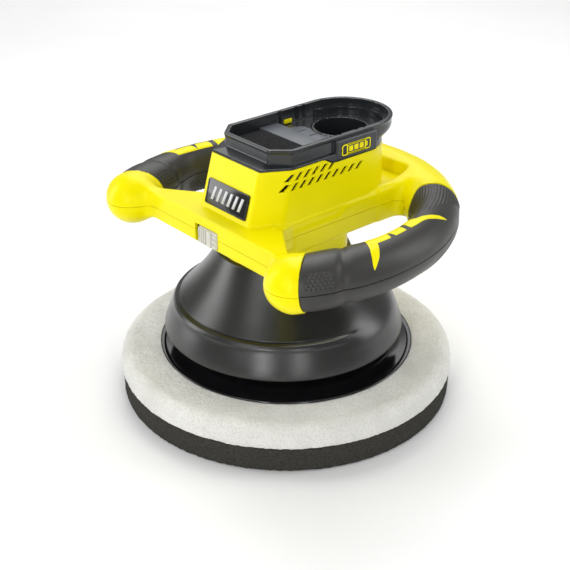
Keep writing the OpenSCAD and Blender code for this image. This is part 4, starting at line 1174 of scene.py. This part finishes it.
def slider():
    """The sliding switch: a thin plate with upright ribs, a block and level ridges."""
    low, high = SWITCH_LOW, SWITCH_HIGH
    mid = Vector(((low[0] + high[0]) / 2, high[1], (low[2] + high[2]) / 2))
    m = Matrix.Translation(mid * MM) @ Matrix(((1, 0, 0), (0, 0, -1), (0, 1, 0))).to_4x4()
    w, h, depth = high[0] - low[0], high[2] - low[2], high[1] - low[1]
    pieces = [prism("plate", rounded_rect(w, h, 1.0), 0.3, depth - 1.5, 0.3, 2, m)]
    for i in range(4):
        x = -w / 2 + 1.5 + i * 2.2
        rib = rounded_rect(1.2, h - 0.8, 0.5, 3, (x, 0))
        pieces.append(prism("rib", rib, depth - 1.7, depth - 0.3, 0.4, 3, m))
    block = rounded_rect(4.6, h - 0.8, 0.8, 3, (2.6, 0))
    pieces.append(prism("block", block, depth - 1.7, depth, 0.5, 3, m))
    for i in range(3):
        y = (i - 1) * 0.3 * h
        ridge = rounded_rect(3.6, 0.17 * h, 0.4, 3, (w / 2 - 2.2, y))
        pieces.append(prism("ridge", ridge, depth - 1.7, depth - 0.4, 0.4, 3, m))
    return join("switch_thumb", pieces)


piece(slider(), SWITCH_GREY, "switch", "switch_slider")

# ---------- camera, light and floor ----------

cam_data = bpy.data.cameras.new("camera")
cam_data.sensor_width = 36.0
cam_data.lens = 69.47
camera = add_object("camera", cam_data)
camera.location = (0.5636, -0.4872, 0.480)
camera.rotation_euler = (math.radians(61.88), 0, math.radians(49.06))
bpy.context.scene.camera = camera
bpy.context.scene.view_settings.view_transform = "Standard"


def area_light(name, place, target, size, power, height=None):
    """A rectangular light that faces its target, as high as it is wide unless told."""
    data = bpy.data.lights.new(name, "AREA")
    data.shape = "RECTANGLE"
    data.size = size
    data.size_y = height or size
    data.energy = power
    lamp = add_object(name, data)
    lamp.location = place
    aim = Vector(target) - Vector(place)
    lamp.rotation_euler = aim.to_track_quat("-Z", "Y").to_euler()


centre = Vector((0, 0, 0.12))
VIEW_RIGHT = Vector((math.cos(camera.rotation_euler.z), math.sin(camera.rotation_euler.z), 0))
VIEW_AHEAD = Vector((-VIEW_RIGHT.y, VIEW_RIGHT.x, 0))


def studio_light(name, right, ahead, up, size, power, height=None):
    """A soft box placed by its distances to the right of, beyond and above the object."""
    place = centre + VIEW_RIGHT * right + VIEW_AHEAD * ahead + Vector((0, 0, up))
    area_light(name, place, centre, size, power, height)


studio_light("key", -0.62, -0.76, 0.62, 0.30, 1.9, 1.0)
studio_light("glint", -0.30, -0.93, 0.27, 0.10, 2.6, 0.6)
studio_light("fill", 0.24, -0.95, 0.27, 0.08, 1.6, 0.6)
studio_light("left", -1.1, 0.15, 0.35, 0.4, 4.5, 0.9)
studio_light("right", 1.15, 0.05, 0.45, 0.4, 4.5, 0.9)
studio_light("top", 0.1, 0.5, 1.3, 1.0, 10)
far = centre + VIEW_AHEAD * 1.6
area_light("sweep", far + Vector((0, 0, 1.2)), far, 1.6, 14)

world = bpy.data.worlds.new("studio")
world.use_nodes = True
world.node_tree.nodes["Background"].inputs["Color"].default_value = (1, 1, 1, 1)
world.node_tree.nodes["Background"].inputs["Strength"].default_value = 0.35
bpy.context.scene.world = world

floor_mesh = bpy.data.meshes.new("floor")
reach = 3.0
corners = [(-reach, -reach, 0), (reach, -reach, 0), (reach, reach, 0), (-reach, reach, 0)]
floor_mesh.from_pydata(corners, [], [(0, 1, 2, 3)])
floor = add_object("floor", floor_mesh)
FLOOR_WHITE = surface("floor_white", (0.86,) * 3, (0.90,) * 3, rough=(0.5, 0.6), patch=4)
floor_mesh.materials.append(FLOOR_WHITE)

bpy.context.view_layer.update()
